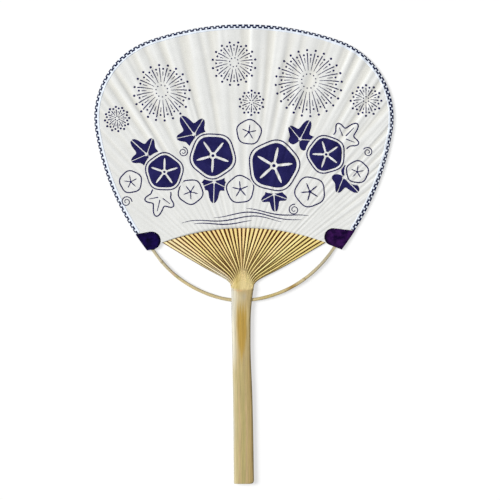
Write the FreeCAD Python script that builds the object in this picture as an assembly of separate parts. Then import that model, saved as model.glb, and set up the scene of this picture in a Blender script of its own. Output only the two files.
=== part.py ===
import FreeCAD
import Part
import math
import os

from FreeCAD import Vector

# A flat-handled bamboo fan that lies on its back. X runs across the blade, Y along the handle
# towards the top of the blade, and Z out of the front. The origin is the middle of the footprint.
# All lengths are in millimetres and all angles in degrees.

# Blade
fan_length = 369.0
blade_width = 240.0
top_radius = 233.0
shoulder_radius = 65.5
side_radius = 211.0
corner_share = 0.326
paper_height = 163.4
lower_edge_radius = 190.0
rim_overrun_angle = 3.0
overrun = 4.0

# Layers of the blade, from the ribs outwards
rib_thickness = 0.8
paper_thickness = 0.2
cover_thickness = 0.2
thread_thickness = 0.4
thread_slack = 0.05
lip_width = 4.5
lip_slope_width = 3.5

# Edge binding and corner patches
binding_width = 3.7
patch_overhang = 2.0
left_patch_rim_length = 14.6
left_patch_round_along = 3.2
left_patch_round_inset = 7.1
left_patch_round_share = 0.87
left_patch_reach = 1.3
right_patch_rim_length = 18.0
right_patch_round_along = 4.1
right_patch_round_inset = 11.1
right_patch_round_share = 0.586
right_patch_reach = 0.3

# Ribs
ribs_each_side = 18
rib_spread_share = 0.546
rib_root_width = 0.42
rib_cover_share = 0.58
rib_tip_width = 1.6
rib_root_bottom = 0.3
rib_root_top = 2.6
rib_window_height = 32.2
rib_tip_clearance = 0.3

# Handle
handle_thickness = 5.0
handle_edge_round = 1.7
tongue_length = 12.9
tongue_flat = 0.9
tongue_top = 2.9
tongue_width = 19.0
tongue_sway = -1.2
ramp_length = 18.5
ramp_middle_share = 0.2
node_share = 0.029
node_width = 17.9
node_sway = -1.4
neck_share = 0.106
neck_width = 16.2
neck_sway = -2.1
waist_share = 0.287
waist_width = 14.9
waist_sway = -2.2
grip_share = 0.574
grip_width = 15.6
grip_sway = -1.0
butt_width = 16.2
butt_sway = 0.0
butt_left_round = 0.7
butt_right_round = 2.6

# Bow
bow_corner_gap = 2.9
bow_middle_width = 3.0
bow_tip_width = 1.8
bow_tip_angle = 62.0
bow_thickness = 2.2
bow_tip_thickness = 0.8
bow_sway = -0.8
bow_drop = 13.6
bow_inset = 6.0
bow_shave_length = 14.0
bow_hole_clearance = 0.1

# Binding thread
thread_inset = 2.2
strand_spacing = 0.6
strand_bend = 0.8
strand_side_clearance = 0.15
strand_end_gap = 0.3
lashing_turns = 4
lashing_pitch = 0.5

# Levels above the surface that the fan lies on
lip_rise = thread_thickness + 2 * thread_slack
back_lip_inside = cover_thickness + paper_thickness
rib_bottom = back_lip_inside + lip_rise
rib_top = rib_bottom + rib_thickness
front_lip_inside = rib_top + lip_rise
rib_middle = (rib_bottom + rib_top) / 2

# Places along the fan
blade_top = fan_length / 2 - cover_thickness
lower_edge_top = blade_top - paper_height
lower_edge_centre = Vector(0, lower_edge_top - lower_edge_radius, 0)
tongue_tip = lower_edge_top - rib_window_height
tongue_foot = tongue_tip - tongue_length
butt = -fan_length / 2
handle_length = tongue_foot - butt
corner_half_width = blade_width * corner_share
up = Vector(0, 0, 1)


def polar(centre, radius, angle):
    """The point at a radius from a centre, at an angle in radians from +Y towards +X."""
    return centre + Vector(radius * math.sin(angle), radius * math.cos(angle), 0)


def mirrored(point):
    return Vector(-point.x, point.y, point.z)


def arc_edge(centre, radius, start, end):
    middle = (start + end) / 2
    points = [polar(centre, radius, angle) for angle in (start, middle, end)]
    return Part.Arc(*points).toShape()


# The right half of the rim is three arcs that run into each other: top, shoulder and side. The
# side arc ends on the corner, where the rim meets the lower edge of the paper.
corner_height = math.sqrt(lower_edge_radius ** 2 - corner_half_width ** 2)
corner = lower_edge_centre + Vector(corner_half_width, corner_height, 0)
top_centre = Vector(0, blade_top - top_radius, 0)
shoulder_inset = blade_width / 2 - shoulder_radius
top_angle = math.asin(shoulder_inset / (top_radius - shoulder_radius))
shoulder_centre = polar(top_centre, top_radius - shoulder_radius, top_angle)
side_step = side_radius - shoulder_radius
to_corner = corner - shoulder_centre
reach = to_corner.Length
along = (side_step ** 2 - side_radius ** 2 + reach ** 2) / (2 * reach)
across = math.sqrt(side_step ** 2 - along ** 2)
to_corner.normalize()
side_centre = shoulder_centre + to_corner * along + to_corner.cross(up) * across
side_start = math.atan2(shoulder_centre.x - side_centre.x, shoulder_centre.y - side_centre.y)
side_end = math.atan2(corner.x - side_centre.x, corner.y - side_centre.y)
side_overrun = side_end + math.radians(rim_overrun_angle)
bottom_level = -overrun
top_level = handle_thickness + overrun


def blade_block(grow):
    """A tall block with the outline of the blade, grown by a margin, and open past the lower edge."""
    left_side = mirrored(side_centre)
    left_shoulder = mirrored(shoulder_centre)
    edges = [
        arc_edge(left_side, side_radius + grow, -side_overrun, -side_start),
        arc_edge(left_shoulder, shoulder_radius + grow, -side_start, -top_angle),
        arc_edge(top_centre, top_radius + grow, -top_angle, top_angle),
        arc_edge(shoulder_centre, shoulder_radius + grow, top_angle, side_start),
        arc_edge(side_centre, side_radius + grow, side_start, side_overrun),
    ]
    right_end = polar(side_centre, side_radius + grow, side_overrun)
    edges.append(Part.makeLine(right_end, lower_edge_centre))
    edges.append(Part.makeLine(lower_edge_centre, mirrored(right_end)))
    face = Part.Face(Part.Wire(edges))
    face.translate(Vector(0, 0, bottom_level))
    return face.extrude(Vector(0, 0, top_level - bottom_level))


def turned(profile):
    """A solid turned about the centre of the lower edge from (radius, height) points."""
    points = [lower_edge_centre + Vector(0, -radius, height) for radius, height in profile]
    face = Part.Face(Part.makePolygon(points + points[:1]))
    return face.revolve(lower_edge_centre, up, 360)


lip_end = lower_edge_radius + lip_width
slope_end = lip_end + lip_slope_width
far_radius = paper_height + lower_edge_radius + overrun


def front_line(start, grow):
    """The line of the front layer at a distance above the ribs, raised over the thread."""
    return [
        (start, front_lip_inside + grow),
        (lip_end, front_lip_inside + grow),
        (slope_end, rib_top + grow),
        (far_radius, rib_top + grow),
    ]


def back_line(start, grow):
    """The same line for the back layer, below the ribs."""
    return [
        (start, back_lip_inside - grow),
        (lip_end, back_lip_inside - grow),
        (slope_end, rib_bottom - grow),
        (far_radius, rib_bottom - grow),
    ]


def between(first, second):
    return turned(first + second[::-1])


# Papers
blade = blade_block(0)
start = lower_edge_radius
front_sheet = between(front_line(start, 0), front_line(start, paper_thickness))
back_sheet = between(back_line(start, paper_thickness), back_line(start, 0))
front_paper = front_sheet.common(blade)
back_paper = back_sheet.common(blade)

# The cover folds round the rim from the back paper to the front paper. The corner patches and
# the edge binding are cut from it, and they meet edge to edge.
cover_edge = lower_edge_radius - patch_overhang
cover_grow = paper_thickness + cover_thickness
outside = between(back_line(cover_edge, cover_grow), front_line(cover_edge, cover_grow))
inside_edge = cover_edge - overrun
inside = between(back_line(inside_edge, paper_thickness), front_line(inside_edge, paper_thickness))
cover = outside.common(blade_block(cover_thickness)).cut(inside.common(blade))


def tangent_point(start, centre, radius, side):
    """Where the line from a point touches a circle, right (1) or left (-1) of the way to it."""
    line = centre - start
    swing = side * math.acos(radius / line.Length)
    back = line * (-radius / line.Length)
    cos, sin = math.cos(swing), math.sin(swing)
    return centre + Vector(back.x * cos - back.y * sin, back.x * sin + back.y * cos, 0)


def patch_block(rim_length, round_along, round_inset, round_share, patch_reach):
    """A tall block with the outline of a patch on the right corner: a round tongue on the rim. The
    radius of its round end is a share of the distance from the tip to the middle of the round."""
    rim_top_angle = side_end - rim_length / side_radius
    rim_top = polar(side_centre, side_radius, rim_top_angle)
    along_rim = (rim_top - corner).normalize()
    inward = up.cross(along_rim)
    tip = corner - along_rim * patch_reach
    centre = corner + along_rim * round_along + inward * round_inset
    round_radius = (centre - tip).Length * round_share
    upper = tangent_point(rim_top, centre, round_radius, 1)
    lower = tangent_point(tip, centre, round_radius, -1)
    middle = centre + inward * round_radius
    outer_top = rim_top + (rim_top - upper).normalize() * overrun
    outer_tip = tip - inward * overrun
    edges = [
        Part.makeLine(outer_top, upper),
        Part.Arc(upper, middle, lower).toShape(),
        Part.makeLine(lower, tip),
        Part.makeLine(tip, outer_tip),
        Part.makeLine(outer_tip, outer_top),
    ]
    face = Part.Face(Part.Wire(edges))
    face.translate(Vector(0, 0, bottom_level))
    return face.extrude(Vector(0, 0, top_level - bottom_level))


right_patch_block = patch_block(
    right_patch_rim_length,
    right_patch_round_along,
    right_patch_round_inset,
    right_patch_round_share,
    right_patch_reach,
)
left_patch_block = patch_block(
    left_patch_rim_length,
    left_patch_round_along,
    left_patch_round_inset,
    left_patch_round_share,
    left_patch_reach,
).mirror(Vector(0, 0, 0), Vector(1, 0, 0))
right_corner_patch = cover.common(right_patch_block)
left_corner_patch = cover.common(left_patch_block)
band = blade_block(overrun).cut(blade_block(-binding_width))
binding_runs = cover.common(band).cut(right_patch_block).cut(left_patch_block).Solids
edge_binding = max(binding_runs, key=lambda solid: solid.Volume)

# Bow: a strip between two circles, widest at the handle, and shaved thin where it goes between
# the papers.
bow_half_span = corner_half_width - bow_corner_gap
bow_bottom = tongue_foot - bow_drop
bow_end_height = math.sqrt(lower_edge_radius ** 2 - bow_half_span ** 2)
bow_rise = lower_edge_centre.y + bow_end_height - bow_bottom
bow_outer_radius = (bow_half_span ** 2 + bow_rise ** 2) / (2 * bow_rise)
bow_centre = Vector(bow_sway, bow_bottom + bow_outer_radius, 0)
bow_shift = (bow_middle_width - bow_tip_width) / (1 - math.cos(math.radians(bow_tip_angle)))
bow_inner_radius = bow_outer_radius + bow_shift - bow_middle_width
bow_inner_centre = bow_centre + Vector(0, bow_shift, 0)


def bow_strip(clearance):
    """The bow with a clearance all round it."""
    plan = Part.makeCylinder(bow_outer_radius + clearance, top_level, bow_centre)
    plan = plan.cut(Part.makeCylinder(bow_inner_radius - clearance, top_level, bow_inner_centre))
    shave_end = lower_edge_radius - patch_overhang
    low = rib_bottom - clearance
    high = rib_bottom + bow_thickness + clearance
    tip = rib_bottom + bow_tip_thickness + clearance
    bow_end = lower_edge_radius + bow_inset
    profile = [
        (0, low),
        (bow_end, low),
        (bow_end, tip),
        (shave_end, tip),
        (shave_end - bow_shave_length, high),
        (0, high),
    ]
    strip = plan.common(turned(profile))
    return min(strip.Solids, key=lambda solid: solid.CenterOfMass.y)


bow = bow_strip(0)

# Handle
handle_stations = [
    (tongue_foot, tongue_width, tongue_sway),
    (tongue_foot - handle_length * node_share, node_width, node_sway),
    (tongue_foot - handle_length * neck_share, neck_width, neck_sway),
    (tongue_foot - handle_length * waist_share, waist_width, waist_sway),
    (tongue_foot - handle_length * grip_share, grip_width, grip_sway),
]
down = Vector(0, -1, 0)


def handle_side(side, corner_round):
    """One long edge of the handle, from the foot of the tongue to the round of the butt."""
    points = [Vector(sway + side * width / 2, y, 0) for y, width, sway in handle_stations]
    points.append(Vector(butt_sway + side * butt_width / 2, butt + corner_round, 0))
    curve = Part.BSplineCurve()
    curve.interpolate(points)
    tangents = [curve.tangent(curve.parameter(point))[0] for point in points[:-1]]
    curve.interpolate(Points=points, Tangents=tangents + [down], TangentFlags=[True] * len(points))
    return curve.toShape(), points[0], points[-1]


right_edge, right_foot, right_end = handle_side(1, butt_right_round)
left_edge, left_foot, left_end = handle_side(-1, butt_left_round)
tongue_left = Vector(tongue_sway - tongue_flat / 2, tongue_tip, 0)
tongue_right = Vector(tongue_sway + tongue_flat / 2, tongue_tip, 0)


def butt_round(start, radius, side):
    centre = start - Vector(side * radius, 0, 0)
    turn = math.pi / 2
    return arc_edge(centre, radius, side * turn, side * 2 * turn)


handle_plan = Part.Wire(Part.__sortEdges__([
    Part.makeLine(left_foot, tongue_left),
    Part.makeLine(tongue_left, tongue_right),
    Part.makeLine(tongue_right, right_foot),
    right_edge,
    butt_round(right_end, butt_right_round, 1),
    Part.makeLine(
        Vector(right_end.x - butt_right_round, butt, 0),
        Vector(left_end.x + butt_left_round, butt, 0),
    ),
    butt_round(left_end, butt_left_round, -1),
    left_edge,
]))
handle = Part.Face(handle_plan).extrude(Vector(0, 0, handle_thickness))
long_edges = [edge for edge in handle.Edges if edge.Length > handle_length / 2]
handle = handle.makeFillet(handle_edge_round, long_edges)

# The front of the crown is pared down to the ribs in a hollow slope.
ramp_foot = tongue_tip - ramp_length
ramp_end = tongue_tip + overrun
ramp_middle = (ramp_foot + ramp_end) / 2
ramp_hollow = tongue_top + (handle_thickness - tongue_top) * ramp_middle_share
ramp_points = [
    Vector(-blade_width / 2, ramp_foot, handle_thickness),
    Vector(-blade_width / 2, ramp_middle, ramp_hollow),
    Vector(-blade_width / 2, ramp_end, tongue_top),
    Vector(-blade_width / 2, ramp_end, top_level),
    Vector(-blade_width / 2, ramp_foot, top_level),
]
ramp_plan = Part.Wire([
    Part.Arc(*ramp_points[:3]).toShape(),
    Part.makeLine(ramp_points[2], ramp_points[3]),
    Part.makeLine(ramp_points[3], ramp_points[4]),
    Part.makeLine(ramp_points[4], ramp_points[0]),
])
handle = handle.cut(Part.Face(ramp_plan).extrude(Vector(blade_width, 0, 0)))
handle = handle.cut(bow_strip(bow_hole_clearance))

# Ribs: slivers from the edges of the tongue to the rim. They are narrow and deep at the root, and
# broad and thin between the papers. At the lower edge of the paper their pitch is even.
thread_radius = lower_edge_radius + thread_inset
spread_angle = math.asin(blade_width * rib_spread_share / 2 / lower_edge_radius)
rib_pitch = spread_angle * thread_radius / ribs_each_side
rib_block = blade_block(-rib_tip_clearance)


def rib_root(number):
    """The middle of a rib's root, and the direction of the tongue's edge there."""
    if number == 0:
        return Vector(tongue_sway, tongue_tip, 0), Vector(1, 0, 0)
    if number > 0:
        start, end = tongue_right, right_foot
    else:
        start, end = tongue_left, left_foot
    share = (abs(number) - 1 / 2) / ribs_each_side
    middle = start + (end - start) * share
    if number < 0:
        start, end = end, start
    return middle, (end - start).normalize()


def rib_line(number):
    """A rib's root, the direction of its seat, its thread point and its own direction."""
    root, seat = rib_root(number)
    crossing = polar(lower_edge_centre, thread_radius, spread_angle * number / ribs_each_side)
    return root, seat, crossing, (crossing - root).normalize()


def rib_skew(number, direction):
    """How squarely a rib crosses the thread line, from 0 to 1."""
    return math.cos(math.atan2(direction.x, direction.y) - spread_angle * number / ribs_each_side)


def closed_solid(faces):
    wires = [Part.makePolygon(points + points[:1]) for points in faces]
    solid = Part.Solid(Part.Shell([Part.Face(wire) for wire in wires]))
    if solid.Volume < 0:
        solid.reverse()
    return solid


def rib_solid(number):
    root, seat, crossing, direction = rib_line(number)
    side = direction.cross(up)
    free_length = (crossing - root).Length
    seat_half = rib_root_width / 2 / seat.dot(side)
    end = root + direction * fan_length
    width = rib_pitch * rib_cover_share * rib_skew(number, direction)
    seats = (seat * seat_half, side * (width / 2), side * (rib_tip_width / 2))
    right = [middle + half for middle, half in zip((root, crossing, end), seats)]
    left = [middle - half for middle, half in zip((root, crossing, end), seats)]

    def raised(points, root_level, level):
        placed = []
        for point in points:
            share = max(0, 1 - (point - root).dot(direction) / free_length)
            placed.append(point + up * (level + (root_level - level) * share))
        return placed

    right_low = raised(right, rib_root_bottom, rib_bottom)
    right_high = raised(right, rib_root_top, rib_top)
    left_low = raised(left, rib_root_bottom, rib_bottom)
    left_high = raised(left, rib_root_top, rib_top)
    faces = [
        [right_low[0], right_high[0], left_high[0], left_low[0]],
        [right_low[2], right_high[2], left_high[2], left_low[2]],
    ]
    sides = [(right_low, left_low), (right_high, left_high)]
    sides += [(right_low, right_high), (left_low, left_high)]
    for first, second in sides:
        for step in (0, 1):
            faces.append([first[step], first[step + 1], second[step + 1], second[step]])
    return closed_solid(faces).common(rib_block)


# Thread: two strands that pass each rib on opposite sides and cross over between the ribs.
def rounded_path(points, radius):
    """A wire of straight runs through the points, with each corner rounded to a radius."""
    edges = []
    last = points[0]
    for before, here, after in zip(points, points[1:], points[2:]):
        arriving = (here - before).normalize()
        leaving = (after - here).normalize()
        turn = arriving.getAngle(leaving)
        setback = radius * math.tan(turn / 2)
        start = here - arriving * setback
        end = here + leaving * setback
        inward = (leaving - arriving).normalize()
        middle = here + inward * (radius / math.cos(turn / 2) - radius)
        edges.append(Part.makeLine(last, start))
        edges.append(Part.Arc(start, middle, end).toShape())
        last = end
    edges.append(Part.makeLine(last, points[-1]))
    return Part.Wire(edges)


def thread_along(path, start, direction):
    section = Part.Wire(Part.makeCircle(thread_thickness / 2, start, direction))
    return path.makePipeShell([section], True, False)


def bow_at_thread(side):
    """Where the middle of the bow crosses the thread line, the bow's direction and its half width."""
    outer = Part.makeCircle(bow_outer_radius, bow_centre)
    inner = Part.makeCircle(bow_inner_radius, bow_inner_centre)
    line = Part.makeCircle(thread_radius, lower_edge_centre)
    ends = []
    for circle in (outer, inner):
        crossings = line.Curve.intersect(circle.Curve)
        ends.append(max((Vector(p.X, p.Y, 0) for p in crossings), key=lambda p: side * p.x))
    middle = (ends[0] + ends[1]) / 2
    direction = up.cross(middle - bow_centre).normalize() * side
    return middle, direction, (ends[0] - ends[1]).Length / 2


thread_level = rib_thickness / 2 + thread_slack + thread_thickness / 2


def strand(radius, first_side):
    """One strand from bow to bow, in front of the first rib (1) or behind it (-1)."""
    points = []
    level = first_side
    for number in range(-ribs_each_side, ribs_each_side + 1):
        root, seat, crossing, direction = rib_line(number)
        angle = spread_angle * number / ribs_each_side
        half = (rib_pitch * rib_cover_share / 2 + strand_side_clearance) / radius
        height = up * (rib_middle + level * thread_level)
        points.append(polar(lower_edge_centre, radius, angle - half) + height)
        points.append(polar(lower_edge_centre, radius, angle + half) + height)
        level = -level
    for side in (-1, 1):
        middle, direction, half_width = bow_at_thread(side)
        from_centre = middle - lower_edge_centre
        angle = math.atan2(from_centre.x, from_centre.y)
        inset = half_width + thread_level + thread_thickness + strand_end_gap
        end = polar(lower_edge_centre, radius, angle - side * inset / radius) + up * rib_middle
        points.insert(0 if side < 0 else len(points), end)
    path = rounded_path(points, strand_bend)
    return thread_along(path, points[0], points[1] - points[0])


def lashing(side):
    """Turns of thread round the end of the bow."""
    middle, direction, half_width = bow_at_thread(side)
    middle = middle - direction * (lashing_turns * lashing_pitch / 2) + up * rib_middle
    aside = direction.cross(up)

    def place(sideways, height, advance):
        return middle + aside * sideways + up * height + direction * (advance * lashing_pitch)

    edges = []
    for turn in range(lashing_turns):
        for step in (0, 1):
            way = 1 - 2 * step
            advance = turn + step / 2
            start = place(-way * half_width, way * thread_level, advance)
            straight = place(way * half_width, way * thread_level, advance)
            round_side = place(way * (half_width + thread_level), 0, advance + 1 / 4)
            end = place(way * half_width, -way * thread_level, advance + 1 / 2)
            edges.append(Part.makeLine(start, straight))
            edges.append(Part.Arc(straight, round_side, end).toShape())
    start = place(-half_width, thread_level, 0)
    return thread_along(Part.Wire(edges), start, aside)


nodes = {
    "handle": handle,
    "bow": bow,
    "front_paper": front_paper,
    "back_paper": back_paper,
    "edge_binding": edge_binding,
    "left_corner_patch": left_corner_patch,
    "right_corner_patch": right_corner_patch,
    "upper_thread_strand": strand(thread_radius + strand_spacing / 2, 1),
    "lower_thread_strand": strand(thread_radius - strand_spacing / 2, -1),
    "left_bow_lashing": lashing(-1),
    "right_bow_lashing": lashing(1),
}
for number in range(-ribs_each_side, ribs_each_side + 1):
    nodes["rib_%02d" % (number + ribs_each_side + 1)] = rib_solid(number)

os.makedirs("parts", exist_ok=True)
for name, shape in nodes.items():
    if len(shape.Solids) != 1 or not shape.isValid():
        raise ValueError("%s is not one sound solid" % name)
    shape.Solids[0].exportStep("parts/%s.step" % name)
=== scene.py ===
import math

import bmesh
import bpy
import numpy as np
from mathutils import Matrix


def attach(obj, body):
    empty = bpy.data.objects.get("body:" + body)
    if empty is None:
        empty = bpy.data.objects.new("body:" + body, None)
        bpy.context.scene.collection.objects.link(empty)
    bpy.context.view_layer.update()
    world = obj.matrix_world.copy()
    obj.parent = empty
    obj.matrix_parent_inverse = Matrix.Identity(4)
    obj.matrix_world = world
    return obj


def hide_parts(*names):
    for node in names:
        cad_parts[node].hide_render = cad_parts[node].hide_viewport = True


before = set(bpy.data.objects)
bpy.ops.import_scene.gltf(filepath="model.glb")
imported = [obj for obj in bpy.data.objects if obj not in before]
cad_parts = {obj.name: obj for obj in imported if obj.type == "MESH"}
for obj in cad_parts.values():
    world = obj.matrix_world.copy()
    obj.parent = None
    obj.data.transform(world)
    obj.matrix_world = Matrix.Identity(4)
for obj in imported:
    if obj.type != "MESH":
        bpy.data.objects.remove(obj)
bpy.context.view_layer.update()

# Sizes of the fan in millimetres, as in the part's source. X runs across the blade, Y along the handle
# towards the top of the blade, and Z out of the front.
MM = 0.001
FAN_LENGTH, BLADE_WIDTH = 369.0, 240.0
TOP_RADIUS, SHOULDER_RADIUS, SIDE_RADIUS = 233.0, 65.5, 211.0
CORNER_SHARE, RIB_SPREAD_SHARE = 0.326, 0.546
PAPER_HEIGHT, LOWER_RADIUS = 163.4, 190.0
PAPER_THICK, COVER_THICK, RIB_THICK, RIB_LOW = 0.2, 0.2, 0.8, 0.9
RIBS_EACH_SIDE, WINDOW_HEIGHT = 18, 32.2
TONGUE_LENGTH, TONGUE_WIDTH, TONGUE_SWAY = 12.9, 19.0, -1.2
THREAD_THICK, THREAD_INSET, THREAD_SPACING = 0.4, 2.2, 0.6

RIB_COUNT = 2 * RIBS_EACH_SIDE + 1
RIB_HIGH = RIB_LOW + RIB_THICK
RIB_MIDDLE = (RIB_LOW + RIB_HIGH) / 2
BLADE_TOP = FAN_LENGTH / 2 - COVER_THICK
LOWER_TOP = BLADE_TOP - PAPER_HEIGHT
LOWER_CENTRE = np.array([0.0, LOWER_TOP - LOWER_RADIUS])
TONGUE_TIP = LOWER_TOP - WINDOW_HEIGHT
TONGUE_FOOT = TONGUE_TIP - TONGUE_LENGTH
BUTT = -FAN_LENGTH / 2
THREAD_RADIUS = LOWER_RADIUS + THREAD_INSET
SPREAD_ANGLE = math.asin(BLADE_WIDTH * RIB_SPREAD_SHARE / 2 / LOWER_RADIUS)
THREAD_PITCH = SPREAD_ANGLE * THREAD_RADIUS / RIBS_EACH_SIDE


# Curves and directions

def smooth_step(value, start, end):
    """0 before start, 1 after end, and 3s^2 - 2s^3 of the share s between them."""
    share = np.clip((value - start) / (end - start), 0, 1)
    return share * share * (3 - 2 * share)


def fading(value, start, end):
    """1 before start and 0 after end: what a smooth step lacks to 1."""
    return 1 - smooth_step(value, start, end)


def between(first, second, share):
    """The way from a first value to a second one, at a share of it."""
    return first + (second - first) * share


def bell(value, centre, width):
    """exp of minus the square of the distance from centre in widths."""
    return np.exp(-((value - centre) / width) ** 2)


def smooth_curve(at, places, values):
    """A cubic through the values, whose slope at each place is that of the line through its neighbours."""
    places, values = np.asarray(places, float), np.asarray(values, float)
    slopes = np.gradient(values, places)
    index = np.clip(np.searchsorted(places, at) - 1, 0, len(places) - 2)
    step = places[index + 1] - places[index]
    share = np.clip((at - places[index]) / step, 0, 1)
    back = 1 - share
    return (values[index] * (1 + 2 * share) * back ** 2 + values[index + 1] * (1 + 2 * back) * share ** 2
            + step * share * back * (slopes[index] * back - slopes[index + 1] * share))


def paired(first, second):
    """Two values at each point, side by side."""
    return np.stack(np.broadcast_arrays(first, second), axis=-1)


def from_up(angle):
    """Directions in the plan at angles from +Y towards +X."""
    return paired(np.sin(angle), np.cos(angle))


def from_right(angle):
    """Directions in the plan at angles from +X towards +Y."""
    return paired(np.cos(angle), np.sin(angle))


def heading(path):
    """Directions along a path, from the differences of its points."""
    ahead = np.gradient(path, axis=0)
    return ahead / np.linalg.norm(ahead, axis=-1, keepdims=True)


def distance(plan, centre):
    """Distance of points of the plan from a centre: the root of the squares across and along."""
    return np.hypot(*np.moveaxis(plan - centre, -1, 0))


def over_lower_edge(plan):
    """Height of points of the plan over the lower edge of the paper."""
    return distance(plan, LOWER_CENTRE) - LOWER_RADIUS


def halved(low, high, holds, times):
    """Where a test stops holding between low and high, found by halving the range."""
    for _ in range(times):
        middle = (low + high) / 2
        here = holds(middle)
        low, high = np.where(here, middle, low), np.where(here, high, middle)
    return (low + high) / 2


def lifted(plan, level):
    """Points of the plan at their heights."""
    return np.concatenate([plan, level[..., None]], axis=-1)


def mixed(first, second, share):
    """A share of the second colour in the first, point by point."""
    return between(np.asarray(first), np.asarray(second), np.asarray(share)[..., None])


def layered(tone, *layers):
    """Colours laid one over another, each by its share."""
    for colour, share in layers:
        tone = mixed(tone, colour, share)
    return tone


# The rim: top, shoulder and side arcs that run into each other, mirrored left to right.
CORNER_X = BLADE_WIDTH * CORNER_SHARE
CORNER = LOWER_CENTRE + [CORNER_X, math.sqrt(LOWER_RADIUS ** 2 - CORNER_X ** 2)]
TOP_CENTRE = np.array([0.0, BLADE_TOP - TOP_RADIUS])
TOP_ANGLE = math.asin((BLADE_WIDTH / 2 - SHOULDER_RADIUS) / (TOP_RADIUS - SHOULDER_RADIUS))
SHOULDER_CENTRE = TOP_CENTRE + (TOP_RADIUS - SHOULDER_RADIUS) * from_up(TOP_ANGLE)
SIDE_STEP = SIDE_RADIUS - SHOULDER_RADIUS
REACH = distance(CORNER, SHOULDER_CENTRE)
TO_CORNER = (CORNER - SHOULDER_CENTRE) / REACH
ALONG = (SIDE_STEP ** 2 - SIDE_RADIUS ** 2 + REACH ** 2) / (2 * REACH)
ACROSS = math.sqrt(SIDE_STEP ** 2 - ALONG ** 2)
SIDE_CENTRE = SHOULDER_CENTRE + TO_CORNER * ALONG + np.array([TO_CORNER[1], -TO_CORNER[0]]) * ACROSS
SIDE_START = math.atan2(*(SHOULDER_CENTRE - SIDE_CENTRE))
SIDE_END = math.atan2(*(CORNER - SIDE_CENTRE))
ARC_CENTRES = np.stack([TOP_CENTRE, SHOULDER_CENTRE, SIDE_CENTRE])
ARC_RADII = np.array([TOP_RADIUS, SHOULDER_RADIUS, SIDE_RADIUS])
ARC_ANGLES = np.array([0.0, TOP_ANGLE, SIDE_START, SIDE_END])
ARC_RUNS = np.concatenate([[0.0], np.cumsum(ARC_RADII * np.diff(ARC_ANGLES))])
HALF_RIM = ARC_RUNS[-1]


def rim(run):
    """Points and outward directions on the rim at distances from the middle of its top, right positive.
    The angle from +Y grows by distance over radius on the top arc, then the shoulder, then the side."""
    far = np.abs(run)
    arc = np.searchsorted(ARC_RUNS[1:3], far, side="right")
    out = from_up(ARC_ANGLES[arc] + (far - ARC_RUNS[arc]) / ARC_RADII[arc])
    point = ARC_CENTRES[arc] + out * ARC_RADII[arc][..., None]
    mirror = paired(np.where(run < 0, -1.0, 1.0), 1.0)
    return point * mirror, out * mirror


def inside_rim(plan):
    """Distance inwards from the rim: radius less distance to the centre of the arc that faces the point."""
    plan = paired(np.abs(plan[..., 0]), plan[..., 1])
    turn = np.arctan2(*np.moveaxis(plan - SHOULDER_CENTRE, -1, 0))
    arc = np.searchsorted(ARC_ANGLES[1:3], turn, side="right")
    return ARC_RADII[arc] - distance(plan, ARC_CENTRES[arc])


# Lines of the ribs. The roots stand on the arch of the crown, closer together towards its feet.
ROOT_HALF, ROOT_CROWDING, ARCH_POWER = 9.2, 0.4, 1.5
FAR_NUMBER, NUMBER_HALVINGS, LINE_HALVINGS = 26.0, 28, 40


def rib_line(number):
    """Root, thread point and direction of the line of a rib. The number runs on between the ribs. The roots
    stand on the round arch of the crown, and the thread points evenly along the thread."""
    number = np.asarray(number, float)
    share = np.abs(number) / RIBS_EACH_SIDE
    out = (1 + ROOT_CROWDING) * share - ROOT_CROWDING * share ** 2
    across = TONGUE_SWAY + np.sign(number) * ROOT_HALF * out
    root = paired(across, TONGUE_TIP - TONGUE_LENGTH * out ** ARCH_POWER)
    crossing = LOWER_CENTRE + THREAD_RADIUS * from_up(SPREAD_ANGLE * number / RIBS_EACH_SIDE)
    line = crossing - root
    return root, crossing, line / np.linalg.norm(line, axis=-1, keepdims=True)


def rib_number(plan):
    """The number of the rib line through each point."""

    def is_right(number):
        root, _, direction = rib_line(number)
        away = plan - root
        return away[..., 0] * direction[..., 1] > away[..., 1] * direction[..., 0]

    shape = plan.shape[:-1]
    return halved(np.full(shape, -FAR_NUMBER), np.full(shape, FAR_NUMBER), is_right, NUMBER_HALVINGS)


# Relief of the papers. Each wave has its turns per rib and its share of the slope, and draws between two
# rows: turn, reach and start of its swell, and start and reach of its bend. A crease draws its rib number,
# its width in ribs, and the middle and reach of its height.
LIP_RISE, LIP_START, LIP_END = 0.5, 3.0, 22.0
PAPER_LIFT, RIM_FADE, RIB_RIPPLE = 0.4, 4.0, 0.06
RIPPLE_LIMIT, LOW_SLOPE, HIGH_SLOPE, BACK_SHARE = 0.6, 0.075, 0.135, 0.5
FRONT_SEED, FRONT_CREASES, BACK_SEED, BACK_CREASES = 11, 16, 23, 10
WAVES = ((0.73, 0.5), (1.0, 1.0), (1.37, 0.8), (1.9, 0.6), (2.7, 0.4))
WAVE_FROM, WAVE_TO = (0.08, 22, 0, 0, 30), (0.2, 46, 6, 6, 60)
CREASE_FROM, CREASE_TO = (-13, 0.06, 70, 25), (13, 0.18, 165, 60)
CREASE_LOW, CREASE_HIGH = 0.06, 0.16


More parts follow.
